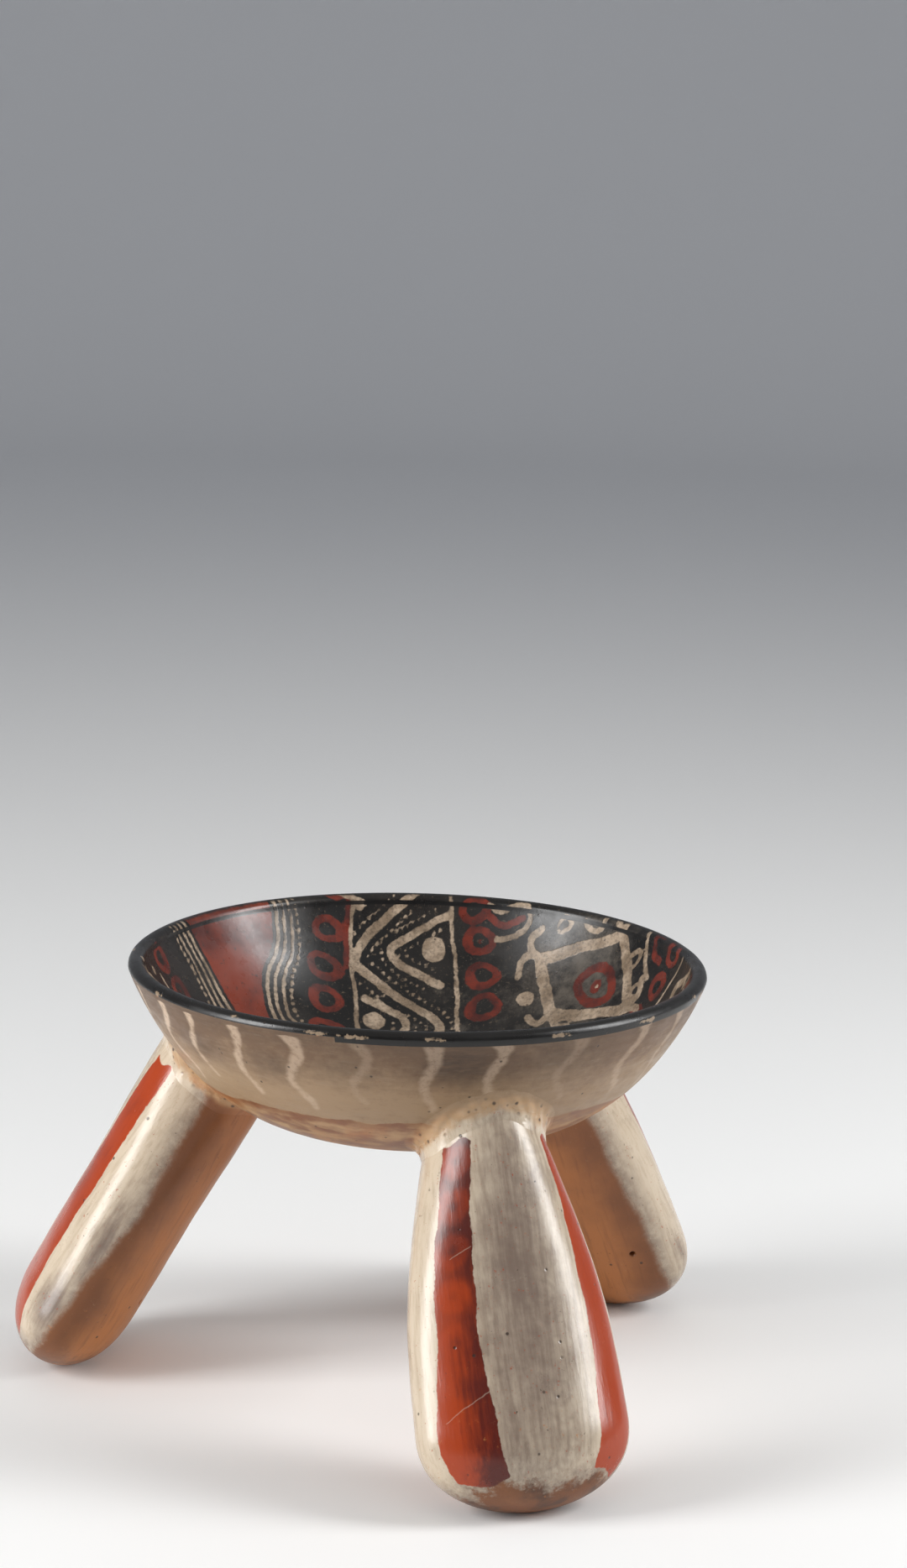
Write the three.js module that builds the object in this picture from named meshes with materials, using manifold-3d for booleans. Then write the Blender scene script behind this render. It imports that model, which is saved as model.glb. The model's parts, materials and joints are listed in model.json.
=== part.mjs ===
import * as THREE from 'three';
import { mergeVertices } from 'three/addons/utils/BufferGeometryUtils.js';
import Module from 'manifold-3d';

// A shallow clay bowl on three hollow legs that splay outwards. Loose clay pellets inside each leg
// make it rattle. Millimetres, +Z up, the feet on z = 0.

const wasm = await Module();
wasm.setup();

// The bowl, measured down from the plane through the middle of its rounded lip
const BOWL_RADIUS = 91.6;
const BOWL_DEPTH = 51.2;
const LIP_RADIUS = 2.6;
const FLOOR_THICKNESS = 6;
const FLOOR_DISC_RADIUS = 12;
// The two powers of the bowl's curve: (radius share) ^ SIDE_POWER + (depth share) ^ BASE_POWER = 1
const SIDE_POWER = 3.7;
const BASE_POWER = 1.07;

// A leg, measured down its own axis from where that axis meets the underside of the bowl
const LEG_SEAT_RADIUS = 64.6;
const LEG_SPLAY = 29;
const LEG_LENGTH = 113.7;
const LEG_BULB_AT = 88;
const LEG_WALL = 6;
// Half widths across the leg, and half thicknesses towards the bowl's axis
const NECK_HALF_WIDTH = 17.8;
const MIDDLE_HALF_WIDTH = 29.7;
const BULB_HALF_WIDTH = 33.7;
const NECK_HALF_THICKNESS = 20.1;
const MIDDLE_HALF_THICKNESS = 19.6;
const BULB_HALF_THICKNESS = 19.3;
// The power of the rounded end's curve, where 2 is an ellipse and more is blunter
const TOE_POWER = 2.3;
const FOOT_WEAR = 0.5;

// The vent hole through a leg's wall, on the side that faces the bowl's axis
const VENT_RADIUS = 1.1;
const VENT_AT = 79;

// The three legs stand where the maker set them, not quite a third of a turn apart
const LEGS = [
  { name: 'front', azimuth: -70.8, ventTurn: 262 },
  { name: 'right', azimuth: 53.8, ventTurn: 222 },
  { name: 'left', azimuth: 171.4, ventTurn: 284 },
];

// The luting clay smeared round each neck, a concave fillet between leg and bowl
const COLLAR_REACH_ON_BOWL = 6.5;
const COLLAR_REACH_ON_LEG = 8;
const COLLAR_EDGE = 0.9;
const COLLAR_HOLLOW = 0.75;

// The loose pellets, side by side in each leg's chamber
const PELLET_RADIUS = 5;
const PELLET_SPACING = 11;
const PELLETS = 3;
const PELLET_CLEARANCE = 0.4;

// Clearance between pieces that were joined as wet clay
const SEAT_GAP = 0.3;

// Facets
const BOWL_SIDES = 64;
const BOWL_STEPS = 13;
const LIP_STEPS = 5;
const LEG_SIDES = 30;
const LEG_STEPS = 6;
const TOE_STEPS = 7;
const COLLAR_SIDES = 36;
const COLLAR_STEPS = 3;
const VENT_SIDES = 10;

const HALVINGS = 40;
const RIGHT_ANGLE = Math.PI / 2;

// A closed geometry as a solid for cutting, with its shared corners merged
function solid(geometry) {
  const bare = geometry.clone();
  bare.deleteAttribute('normal');
  bare.deleteAttribute('uv');
  const merged = mergeVertices(bare);
  const corners = merged.index.array;
  const triangles = [];
  for (let i = 0; i < corners.length; i += 3) {
    const [a, b, c] = corners.slice(i, i + 3);
    if (a !== b && b !== c && c !== a) {
      triangles.push(a, b, c);
    }
  }
  return new wasm.Manifold(new wasm.Mesh({
    numProp: 3,
    vertProperties: Float32Array.from(merged.attributes.position.array),
    triVerts: Uint32Array.from(triangles),
  }));
}

// A cut solid as a geometry again
function surface(shape) {
  const mesh = shape.getMesh();
  const geometry = new THREE.BufferGeometry();
  geometry.setAttribute('position', new THREE.BufferAttribute(mesh.vertProperties, mesh.numProp));
  geometry.setIndex(new THREE.BufferAttribute(mesh.triVerts, 1));
  geometry.computeVertexNormals();
  return geometry;
}

// The furthest value from `good` towards `bad` for which the test still holds
function furthest(good, bad, holds) {
  let inside = good;
  let outside = bad;
  for (let i = 0; i < HALVINGS; i += 1) {
    const middle = (inside + outside) / 2;
    if (holds(middle)) {
      inside = middle;
    } else {
      outside = middle;
    }
  }
  return inside;
}

// Half of the bowl's outline, from the middle of its base up to the rim plane
function bowlOutline(radius, depth) {
  const points = [new THREE.Vector2(0, -depth)];
  for (let i = 1; i <= BOWL_STEPS; i += 1) {
    const turn = RIGHT_ANGLE * (1 - i / BOWL_STEPS);
    const out = radius * Math.cos(turn) ** (2 / SIDE_POWER);
    const down = depth * Math.sin(turn) ** (2 / BASE_POWER);
    points.push(new THREE.Vector2(out, -down));
  }
  return points;
}

// How far a point lies outside the bowl's underside: negative inside the bowl, and 0 on it
function bowlLevel(point) {
  const share = Math.hypot(point.x, point.y) / BOWL_RADIUS;
  const fall = Math.max(-point.z, 0) / BOWL_DEPTH;
  return share ** SIDE_POWER + fall ** BASE_POWER - 1;
}

function bowlNormal(point) {
  const radius = Math.hypot(point.x, point.y);
  const outwards = SIDE_POWER * (radius / BOWL_RADIUS) ** (SIDE_POWER - 1) / BOWL_RADIUS;
  const downwards = BASE_POWER * (Math.max(-point.z, 0) / BOWL_DEPTH) ** (BASE_POWER - 1) / BOWL_DEPTH;
  return new THREE.Vector3(outwards * point.x / radius, outwards * point.y / radius, -downwards).normalize();
}

function undersideDepth(radius) {
  return BOWL_DEPTH * (1 - (radius / BOWL_RADIUS) ** SIDE_POWER) ** (1 / BASE_POWER);
}

function turned(outline) {
  return new THREE.LatheGeometry(outline, BOWL_SIDES).rotateX(RIGHT_ANGLE);
}

// The bowl: its underside, the lip rolled over in a half circle, and the inside down to a flat floor
function bowlGeometry() {
  const outside = bowlOutline(BOWL_RADIUS, BOWL_DEPTH);
  const lip = [];
  for (let i = 1; i < LIP_STEPS; i += 1) {
    const turn = Math.PI * i / LIP_STEPS;
    const middle = BOWL_RADIUS - LIP_RADIUS;
    lip.push(new THREE.Vector2(middle + LIP_RADIUS * Math.cos(turn), LIP_RADIUS * Math.sin(turn)));
  }
  const innerDepth = BOWL_DEPTH - FLOOR_THICKNESS;
  const inside = bowlOutline(BOWL_RADIUS - 2 * LIP_RADIUS, innerDepth).reverse();
  const wall = inside.filter((point) => point.x > FLOOR_DISC_RADIUS);
  const floor = [new THREE.Vector2(FLOOR_DISC_RADIUS, -innerDepth), new THREE.Vector2(0, -innerDepth)];
  return surface(solid(turned([...outside, ...lip, ...wall, ...floor])));
}

// The bowl's whole outer form, filled and grown by the seat gap, which cuts what is set against it
function bowlSeat() {
  const outside = bowlOutline(BOWL_RADIUS + SEAT_GAP, BOWL_DEPTH + SEAT_GAP);
  return solid(turned([...outside, new THREE.Vector2(0, 0)]));
}

// A leg's own directions, for a leg that splays towards +X
const splay = THREE.MathUtils.degToRad(LEG_SPLAY);
const alongLeg = new THREE.Vector3(Math.sin(splay), 0, -Math.cos(splay));
const acrossLeg = new THREE.Vector3(0, 1, 0);
const outOfLeg = new THREE.Vector3(Math.cos(splay), 0, Math.sin(splay));
const seat = new THREE.Vector3(LEG_SEAT_RADIUS, 0, -undersideDepth(LEG_SEAT_RADIUS));
const legPlace = new THREE.Matrix4()
  .makeBasis(acrossLeg, alongLeg, outOfLeg.clone().negate())
  .setPosition(seat);

// A smooth curve through three sizes: at the neck, half way to the bulb, and at the bulb
function sizeAlong(distance, neck, middle, bulb) {
  const t = THREE.MathUtils.clamp(distance / LEG_BULB_AT, 0, 1);
  return neck * (1 - t) * (1 - 2 * t) + 4 * middle * t * (1 - t) + bulb * t * (2 * t - 1);
}

function halfWidth(distance) {
  return sizeAlong(distance, NECK_HALF_WIDTH, MIDDLE_HALF_WIDTH, BULB_HALF_WIDTH);
}

function halfThickness(distance) {
  return sizeAlong(distance, NECK_HALF_THICKNESS, MIDDLE_HALF_THICKNESS, BULB_HALF_THICKNESS);
}

// How much of its full section the leg still has at a distance, which only shrinks in the rounded toe
function toeShare(distance, inset) {
  const reach = Math.max(distance - LEG_BULB_AT, 0) / (LEG_LENGTH - inset - LEG_BULB_AT);
  return Math.sqrt(Math.max(1 - reach ** TOE_POWER, 0));
}

// A point on the leg, drawn in by `inset`, at an angle round its section counted from across the leg
function legPoint(distance, turn, inset) {
  const share = toeShare(distance, inset);
  return seat.clone()
    .addScaledVector(alongLeg, distance)
    .addScaledVector(acrossLeg, (halfWidth(distance) - inset) * share * Math.cos(turn))
    .addScaledVector(outOfLeg, (halfThickness(distance) - inset) * share * Math.sin(turn));
}

function legNormal(distance, turn) {
  return acrossLeg.clone().multiplyScalar(Math.cos(turn) / halfWidth(distance))
    .addScaledVector(outOfLeg, Math.sin(turn) / halfThickness(distance))
    .normalize();
}

// The distance at which a line down the leg leaves the bowl, which draws the saddle-shaped joint
function jointDistance(turn) {
  return furthest(LEG_BULB_AT, -BOWL_DEPTH, (distance) => bowlLevel(legPoint(distance, turn, 0)) > 0);
}

const jointTurns = Array.from({ length: COLLAR_SIDES }, (_, i) => 2 * Math.PI * i / COLLAR_SIDES);
const rootRise = LEG_WALL - Math.min(...jointTurns.map(jointDistance));

// The leg's whole form, drawn in by `inset`, from a root inside the bowl down to the rounded toe
function legForm(inset) {
  const outline = [new THREE.Vector2(0, -rootRise)];
  for (let i = 0; i <= LEG_STEPS; i += 1) {
    const distance = THREE.MathUtils.lerp(-rootRise, LEG_BULB_AT, i / LEG_STEPS);
    outline.push(new THREE.Vector2(1, distance));
  }
  for (let i = 1; i < TOE_STEPS; i += 1) {
    const reach = Math.sin(RIGHT_ANGLE * i / TOE_STEPS);
    const distance = THREE.MathUtils.lerp(LEG_BULB_AT, LEG_LENGTH - inset, reach);
    outline.push(new THREE.Vector2(toeShare(distance, inset), distance));
  }
  outline.push(new THREE.Vector2(0, LEG_LENGTH - inset));
  const geometry = new THREE.LatheGeometry(outline, LEG_SIDES);
  const corners = geometry.attributes.position;
  for (let i = 0; i < corners.count; i += 1) {
    const distance = corners.getY(i);
    corners.setX(i, corners.getX(i) * (halfWidth(distance) - inset));
    corners.setZ(i, corners.getZ(i) * (halfThickness(distance) - inset));
  }
  return geometry.applyMatrix4(legPlace);
}

// The vent hole's drill, square to the wall
function ventDrill(turn) {
  const drill = new THREE.CylinderGeometry(VENT_RADIUS, VENT_RADIUS, 4 * LEG_WALL, VENT_SIDES);
  const normal = legNormal(VENT_AT, turn);
  const aim = new THREE.Quaternion().setFromUnitVectors(new THREE.Vector3(0, 1, 0), normal);
  const place = legPoint(VENT_AT, turn, LEG_WALL / 2);
  return solid(drill.applyQuaternion(aim).translate(place.x, place.y, place.z));
}

const outerForm = legForm(0);
outerForm.computeBoundingBox();
const groundLevel = outerForm.boundingBox.min.z + FOOT_WEAR;

// Everything below the floor, which wears each foot flat
function belowFloor() {
  const reach = 4 * (LEG_SEAT_RADIUS + LEG_LENGTH);
  return solid(new THREE.BoxGeometry(reach, reach, reach).translate(0, 0, groundLevel - reach / 2));
}

// A leg: a hollow shell, open at its neck where the bowl's underside closes it, with a vent and a worn foot
function legGeometry(ventTurn) {
  const shell = solid(outerForm).subtract(solid(legForm(LEG_WALL)));
  return surface(shell.subtract(bowlSeat()).subtract(ventDrill(ventTurn)).subtract(belowFloor()));
}

// One section of the luting clay: a hollow curve outside, and a corner sunk where leg and bowl cut it away
function collarSection(turn) {
  const start = jointDistance(turn);
  const joint = legPoint(start, turn, 0);
  const legSide = legPoint(start + COLLAR_REACH_ON_LEG, turn, 0);
  const fromLeg = legNormal(start + COLLAR_REACH_ON_LEG, turn);
  const fromJoint = legNormal(start, turn);
  const tangent = fromJoint.clone().projectOnPlane(bowlNormal(joint)).normalize();
  const bowlSide = joint.clone().addScaledVector(tangent, COLLAR_REACH_ON_BOWL);
  const fromBowl = bowlNormal(bowlSide);
  const rise = furthest(-LEG_WALL, LEG_WALL, (step) => (
    bowlLevel(bowlSide.clone().addScaledVector(fromBowl, step)) < 0
  ));
  bowlSide.addScaledVector(fromBowl, rise);
  const proud = SEAT_GAP + COLLAR_EDGE;
  const legEdge = legSide.clone().addScaledVector(fromLeg, proud);
  const bowlEdge = bowlSide.clone().addScaledVector(fromBowl, proud);
  const corner = joint.clone().addScaledVector(fromJoint, proud).addScaledVector(bowlNormal(joint), proud);
  const chord = legEdge.clone().lerp(bowlEdge, 0.5);
  const pull = chord.clone().lerp(corner, COLLAR_HOLLOW);
  const hollow = new THREE.QuadraticBezierCurve3(legEdge, pull, bowlEdge).getPoints(COLLAR_STEPS);
  const sunkInBowl = bowlSide.clone().addScaledVector(fromBowl, -LIP_RADIUS);
  const sunkCorner = joint.clone()
    .addScaledVector(fromJoint, -LEG_WALL / 2)
    .addScaledVector(bowlNormal(joint), -LEG_WALL / 2);
  const sunkInLeg = legSide.clone().addScaledVector(fromLeg, -LEG_WALL / 2);
  return [...hollow, sunkInBowl, sunkCorner, sunkInLeg];
}

// A closed ring lofted through sections that all have the same number of corners
function ringGeometry(sections) {
  const corners = sections[0].length;
  const index = [];
  sections.forEach((_, i) => {
    const here = i * corners;
    const next = ((i + 1) % sections.length) * corners;
    for (let j = 0; j < corners; j += 1) {
      const k = (j + 1) % corners;
      index.push(here + j, here + k, next + j);
      index.push(here + k, next + k, next + j);
    }
  });
  const geometry = new THREE.BufferGeometry().setFromPoints(sections.flat());
  return geometry.setIndex(index);
}

function collarGeometry() {
  const ring = solid(ringGeometry(jointTurns.map(collarSection)));
  return surface(ring.subtract(bowlSeat()).subtract(solid(legForm(-SEAT_GAP))));
}

// The corners of a pellet grown by its clearance, in the leg's own directions
const grownPellet = new THREE.IcosahedronGeometry(PELLET_RADIUS + PELLET_CLEARANCE, 2).attributes.position;

// Whether a grown pellet is clear of the chamber's wall and of the bowl that closes the chamber
function pelletFits(across, outward, distance) {
  for (let i = 0; i < grownPellet.count; i += 1) {
    const corner = new THREE.Vector3().fromBufferAttribute(grownPellet, i);
    const depth = distance + corner.y;
    const share = toeShare(depth, LEG_WALL);
    const x = (across + corner.x) / (halfWidth(depth) - LEG_WALL);
    const z = (outward + corner.z) / (halfThickness(depth) - LEG_WALL);
    const place = seat.clone()
      .addScaledVector(alongLeg, depth)
      .addScaledVector(acrossLeg, across + corner.x)
      .addScaledVector(outOfLeg, outward + corner.z);
    if (Math.hypot(x, z) >= share || bowlLevel(place) <= 0) {
      return false;
    }
  }
  return true;
}

// A pellet's lane: along the lower wall of the chamber, from the toe up to where the neck or bowl stops it
function pelletLane(across) {
  const waist = LEG_BULB_AT / 2;
  const toe = LEG_BULB_AT + PELLET_RADIUS;
  const lowest = [waist, toe].map((distance) => (
    furthest(0, -NECK_HALF_THICKNESS, (value) => pelletFits(across, value, distance))));
  const outward = Math.max(...lowest);
  const bottom = furthest(waist, LEG_LENGTH, (distance) => pelletFits(across, outward, distance));
  const top = furthest(waist, -rootRise, (distance) => pelletFits(across, outward, distance));
  const rest = seat.clone()
    .addScaledVector(alongLeg, bottom)
    .addScaledVector(acrossLeg, across)
    .addScaledVector(outOfLeg, outward);
  return { rest, travel: bottom - top };
}

const paintedBowl = new THREE.MeshStandardMaterial({ color: '#8a8072', roughness: 0.35, metalness: 0 });
const paintedLeg = new THREE.MeshStandardMaterial({ color: '#cbbda2', roughness: 0.35, metalness: 0 });
const lutingClay = new THREE.MeshStandardMaterial({ color: '#c0946a', roughness: 0.55, metalness: 0 });
const pelletClay = new THREE.MeshStandardMaterial({ color: '#a8683f', roughness: 0.8, metalness: 0 });

function piece(name, geometry, material) {
  const mesh = new THREE.Mesh(geometry, material);
  mesh.name = name;
  return mesh;
}

const vessel = new THREE.Group();
vessel.add(piece('bowl', bowlGeometry(), paintedBowl));

const collar = collarGeometry();
const pellet = surface(solid(new THREE.IcosahedronGeometry(PELLET_RADIUS, 1)));
const lanes = Array.from({ length: PELLETS }, (_, i) => pelletLane((i - (PELLETS - 1) / 2) * PELLET_SPACING));

for (const { name, azimuth, ventTurn } of LEGS) {
  const leg = new THREE.Group();
  leg.rotation.z = THREE.MathUtils.degToRad(azimuth);
  leg.add(piece(`leg_${name}`, legGeometry(THREE.MathUtils.degToRad(ventTurn)), paintedLeg));
  leg.add(piece(`collar_${name}`, collar, lutingClay));
  lanes.forEach(({ rest, travel }, i) => {
    const loose = piece(`pellet_${name}_${i + 1}`, pellet, pelletClay);
    loose.position.copy(rest);
    // A pellet slides from its rest, up the leg, as far as its travel
    loose.userData = { slideAlong: alongLeg.clone().negate(), travel };
    leg.add(loose);
  });
  vessel.add(leg);
}

// The part stands on z = 0 with the middle of its footprint at the origin
const bounds = new THREE.Box3().setFromObject(vessel, true);
const middle = bounds.getCenter(new THREE.Vector3());
vessel.position.set(-middle.x, -middle.y, -groundLevel);

const part = new THREE.Group();
part.add(vessel);

export default part;
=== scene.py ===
"""The looks of a painted tripod rattle vessel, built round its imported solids."""

import json
import math

import bmesh
import bpy
import numpy as np
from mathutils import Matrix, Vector


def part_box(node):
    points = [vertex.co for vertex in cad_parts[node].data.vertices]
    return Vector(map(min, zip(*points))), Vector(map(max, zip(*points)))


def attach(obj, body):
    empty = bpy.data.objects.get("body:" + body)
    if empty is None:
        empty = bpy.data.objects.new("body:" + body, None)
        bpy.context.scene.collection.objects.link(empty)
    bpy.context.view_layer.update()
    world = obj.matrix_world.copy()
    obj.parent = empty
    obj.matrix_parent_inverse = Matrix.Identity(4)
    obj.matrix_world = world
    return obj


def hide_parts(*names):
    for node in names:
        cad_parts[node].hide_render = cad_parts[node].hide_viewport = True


bl_info = {
    "name": "Painted tripod rattle vessel",
    "version": (1, 0, 0),
    "blender": (4, 5, 0),
    "location": "3D View > Sidebar > Vessel",
    "description": "Builds a burnished and slip-painted tripod rattle bowl round its packed solids",
    "category": "Add Mesh",
}

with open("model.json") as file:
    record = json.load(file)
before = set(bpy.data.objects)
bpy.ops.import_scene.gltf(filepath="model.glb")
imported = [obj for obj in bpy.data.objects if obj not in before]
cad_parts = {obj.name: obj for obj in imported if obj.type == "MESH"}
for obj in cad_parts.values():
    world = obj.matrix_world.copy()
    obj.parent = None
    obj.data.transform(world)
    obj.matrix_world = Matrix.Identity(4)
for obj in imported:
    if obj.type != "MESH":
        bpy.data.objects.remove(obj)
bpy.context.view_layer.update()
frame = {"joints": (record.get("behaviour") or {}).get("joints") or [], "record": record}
MM = 0.001
LEG_NAMES = ("front", "right", "left")
PELLETS_IN_A_LEG = 3

# The vessel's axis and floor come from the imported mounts, and each leg's direction from its pellets' slides
MOUNTS = {mount["name"]: mount["pos_m"] for mount in frame["record"]["mounts"]}
SLIDES = {joint["child"]: joint["axis"] for joint in frame["joints"]}
AXIS_AT = np.array(MOUNTS["bowl_floor"][:2]) / MM
BOWL_FLOOR = MOUNTS["bowl_floor"][2] / MM


def leg_azimuth(leg):
    """The direction in which a leg splays, in radians from +X."""
    up_the_leg = SLIDES[f"pellet_{leg}_2"]
    return math.atan2(-up_the_leg[1], -up_the_leg[0])


def linear(code):
    """An sRGB hex colour as linear red, green, blue and full alpha."""
    shades = [int(code[i:i + 2], 16) / 255 for i in (1, 3, 5)]
    return (*[s / 12.92 if s <= 0.04045 else ((s + 0.055) / 1.055) ** 2.4 for s in shades], 1.0)


def length(name, millimetres, description):
    """A size that a user can change, kept in metres."""
    return bpy.props.FloatProperty(
        name=name, default=millimetres * MM, min=0.0, unit="LENGTH", precision=4, description=description
    )


def colour(name, code, description):
    """A colour that a user can change."""
    return bpy.props.FloatVectorProperty(
        name=name, default=linear(code), size=4, min=0.0, max=1.0, subtype="COLOR", description=description
    )


class VesselSizes(bpy.types.PropertyGroup):
    """The vessel's sizes."""

    bowl_radius: length("Bowl radius", 91.6, "Radius of the bowl's outer wall at the rim")
    bowl_depth: length("Bowl depth", 51.2, "Depth of the underside below the rim")
    floor_thickness: length("Floor thickness", 6.0, "Clay under the middle of the bowl")
    floor_disc_radius: length("Floor disc radius", 12.0, "Radius of the flat middle of the bowl")
    lip_radius: length("Lip radius", 2.6, "Radius of the rounded lip")
    leg_seat_radius: length("Leg seat radius", 64.6, "Distance of each leg's root from the bowl's axis")
    leg_length: length("Leg length", 113.7, "Length of a leg along its middle line")
    bulb_distance: length("Bulb distance", 88.0, "Distance down the leg at which the toe starts to round")
    leg_wall: length("Leg wall", 6.0, "Wall thickness of the hollow legs")
    neck_width: length("Neck half width", 17.8, "Half of the leg's width at its neck")
    middle_width: length("Middle half width", 29.7, "Half of the leg's width half way down")
    bulb_width: length("Bulb half width", 33.7, "Half of the leg's width at the bulb")
    neck_thickness: length("Neck half thickness", 20.1, "Half of the leg's thickness at its neck")
    middle_thickness: length("Middle half thickness", 19.6, "Half of the leg's thickness half way down")
    bulb_thickness: length("Bulb half thickness", 19.3, "Half of the leg's thickness at the bulb")
    vent_radius: length("Vent radius", 1.1, "Radius of the firing vent in each leg")
    vent_distance: length("Vent distance", 79.0, "Distance of the vent down the leg")
    fillet_on_bowl: length("Fillet on bowl", 6.5, "Reach of the luting clay up the bowl")
    fillet_on_leg: length("Fillet on leg", 8.0, "Reach of the luting clay down the leg")
    leg_splay: bpy.props.FloatProperty(
        name="Leg splay", default=math.radians(29), subtype="ANGLE",
        description="Lean of the legs from upright",
    )


class VesselColours(bpy.types.PropertyGroup):
    """The colours of the vessel's slips and clay."""

    black_slip: colour("Black slip", "#0B0806", "Smudged black ground inside the bowl")
    scuffed_black: colour("Scuffed black", "#2A2521", "Worn patches of the black ground")
    # Rubbed grey inside the bowl; the largest patch, at the right back, is also a painted sheen
    rubbed_black: colour("Rubbed black", "#6E655A", "Places where the black is rubbed grey")
    cream_slip: colour("Cream slip", "#C2AC94", "Cream strokes on the black ground")
    worn_cream: colour("Worn cream", "#8E7A64", "Thin or rubbed parts of the cream strokes")
    red_slip: colour("Red slip", "#84351F", "Iron-red slip of the two fields inside the bowl")
    ring_red: colour("Ring red", "#7A2A18", "Iron-red slip of the rings inside the bowl")
    dark_red: colour("Dark red", "#4A1810", "Thick or smudged parts of the red slip")
    leg_cream: colour("Leg cream", "#C8B8A2", "Cream slip of the legs")
    # Grey smudges, and the painted shade across each leg's outer face
    leg_smudge: colour("Leg smudge", "#77665A", "Grey smudges in the legs' cream slip")
    leg_red: colour("Leg red", "#A0390F", "Red bands of the legs")
    # Dark red of the slip, and the painted shade on the ringed bands' inner halves and near the necks
    leg_dark_red: colour("Leg dark red", "#54170A", "Smudged parts of the legs' red bands")
    ring_ground: colour("Ring ground", "#3B1A12", "Dark ground behind the rings on the legs")
    bare_clay: colour("Bare clay", "#AE6E3A", "Burnished bare clay")
    shaded_clay: colour("Shaded clay", "#784826", "Darker patches of the bare clay")
    luting_clay: colour("Luting clay", "#AE8C66", "Tan clay of the joints and the bowl's base")
    outer_smudge: colour("Outer smudge", "#6E543D", "Grey-brown smudging below the rim")
    outer_cream: colour("Outer cream", "#997F62", "Cream slip on the bowl's outside")
    stroke_cream: colour("Stroke cream", "#BEA68E", "Wavy strokes down the bowl's outside")
    soot: colour("Soot", "#2E2119", "Soot and dark grit")
    pellet_clay: colour("Pellet clay", "#A2643D", "Rough fired clay of the pellets")
    # The floor's white and the backdrop's grey: the paper fades from one to the other away from the middle, a
    # painted pool of light
    floor: colour("Floor", "#F4F4F3", "Floor under and round the vessel")
    backdrop: colour("Backdrop", "#D0D2D6", "Far backdrop")


def sizes():
    """The sizes in millimetres, as plain numbers."""
    group = bpy.context.scene.vessel_sizes
    values = {name: getattr(group, name) / MM for name in VesselSizes.__annotations__ if name != "leg_splay"}
    values["leg_splay"] = group.leg_splay
    return values


def colours():
    """The colours as linear red, green, blue and alpha."""
    group = bpy.context.scene.vessel_colours
    return {name: tuple(getattr(group, name)) for name in VesselColours.__annotations__}


# The bowl's curve: (radius share) to this power plus (depth share) to the next makes 1
SIDE_POWER = 3.7
BASE_POWER = 1.07
TOE_POWER = 2.3


def rim_height(s):
    """Height of the rim plane above the floor that the feet stand on."""
    return BOWL_FLOOR + s["bowl_depth"] - s["floor_thickness"]


def wall_depth(radius, full_radius, full_depth):
    """Depth of a bowl surface below the rim plane at a radius."""
    share = np.clip(radius / full_radius, 0, 1)
    return full_depth * (1 - share**SIDE_POWER) ** (1 / BASE_POWER)


def evenly(radius, height, spacing):
    """Points evenly spaced along an outline, and each one's distance along it."""
    along = np.concatenate([[0], np.cumsum(np.hypot(np.diff(radius), np.diff(height)))])
    stops = np.linspace(0, along[-1], max(2, round(along[-1] / spacing) + 1))
    return np.interp(stops, along, radius), np.interp(stops, along, height), stops


def wall_outline(full_radius, full_depth, spacing, flat_radius=0.0):
    """Radius, depth and distance down the wall, from the rim to the middle."""
    turn = np.linspace(0, math.pi / 2, 4001)
    radius = full_radius * np.cos(turn) ** (2 / SIDE_POWER)
    radius[-1] = 0
    depth = full_depth * np.sin(turn) ** (2 / BASE_POWER)
    depth[radius < flat_radius] = full_depth
    return evenly(radius, depth, spacing)


def spun(outline, steps, closed=False):
    """A full spin of an outline in the XZ plane about the Z axis."""
    bm = bmesh.new()
    corners = [bm.verts.new(point) for point in outline]
    ahead = corners[1:] + corners[:1] if closed else corners[1:]
    edges = [bm.edges.new(pair) for pair in zip(corners, ahead)]
    bmesh.ops.spin(
        bm, geom=corners + edges, cent=(0, 0, 0), axis=(0, 0, 1), dvec=(0, 0, 0), angle=2 * math.pi,
        steps=steps, use_merge=True, use_normal_flip=False, use_duplicate=False,
    )
    return bm


def places(bm):
    """The places of a mesh that is still being made."""
    return np.array([corner.co for corner in bm.verts], float)


def move_to(bm, points):
    """Moves the vertices of a mesh that is still being made."""
    for corner, point in zip(bm.verts, points):
        corner.co = point


def finished(bm, name, weld=1e-6):
    """Welds doubles, turns the faces outwards and makes the object, with its place in its mesh."""
    bmesh.ops.remove_doubles(bm, verts=bm.verts, dist=weld)
    bmesh.ops.dissolve_degenerate(bm, edges=bm.edges, dist=weld)
    bmesh.ops.recalc_face_normals(bm, faces=bm.faces)
    for face in bm.faces:
        face.smooth = True
    mesh = bpy.data.meshes.new(name)
    bm.to_mesh(mesh)
    bm.free()
    piece = bpy.data.objects.new(name, mesh)
    bpy.context.scene.collection.objects.link(piece)
    return piece


def mesh_places(piece):
    """The places of a finished piece's vertices, in metres."""
    points = np.zeros(len(piece.data.vertices) * 3)
    piece.data.vertices.foreach_get("co", points)
    return points.reshape(-1, 3)


def keep(piece, name, values):
    """Stores one number per vertex for the materials to read."""
    made = piece.data.attributes.new(name, "FLOAT", "POINT")
    made.data.foreach_set("value", np.asarray(values, np.float32))


def waver(at, size, depth, turn=0.0):
    """Smooth two-way drift of a hand-held brush: moves points by up to depth over a size, both in mm."""
    x, y = at[:, 0] / size, at[:, 1] / size
    across = np.sin(5.1 * y + 2.3 * np.sin(1.9 * x + turn)) + 0.6 * np.sin(9.7 * y - 4.3 * x + turn)
    down = np.sin(4.7 * x + 2.1 * np.sin(2.3 * y - turn)) + 0.6 * np.sin(8.9 * x + 5.3 * y + turn)
    return at + depth / 1.6 * np.stack([across, down], 1)


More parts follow.
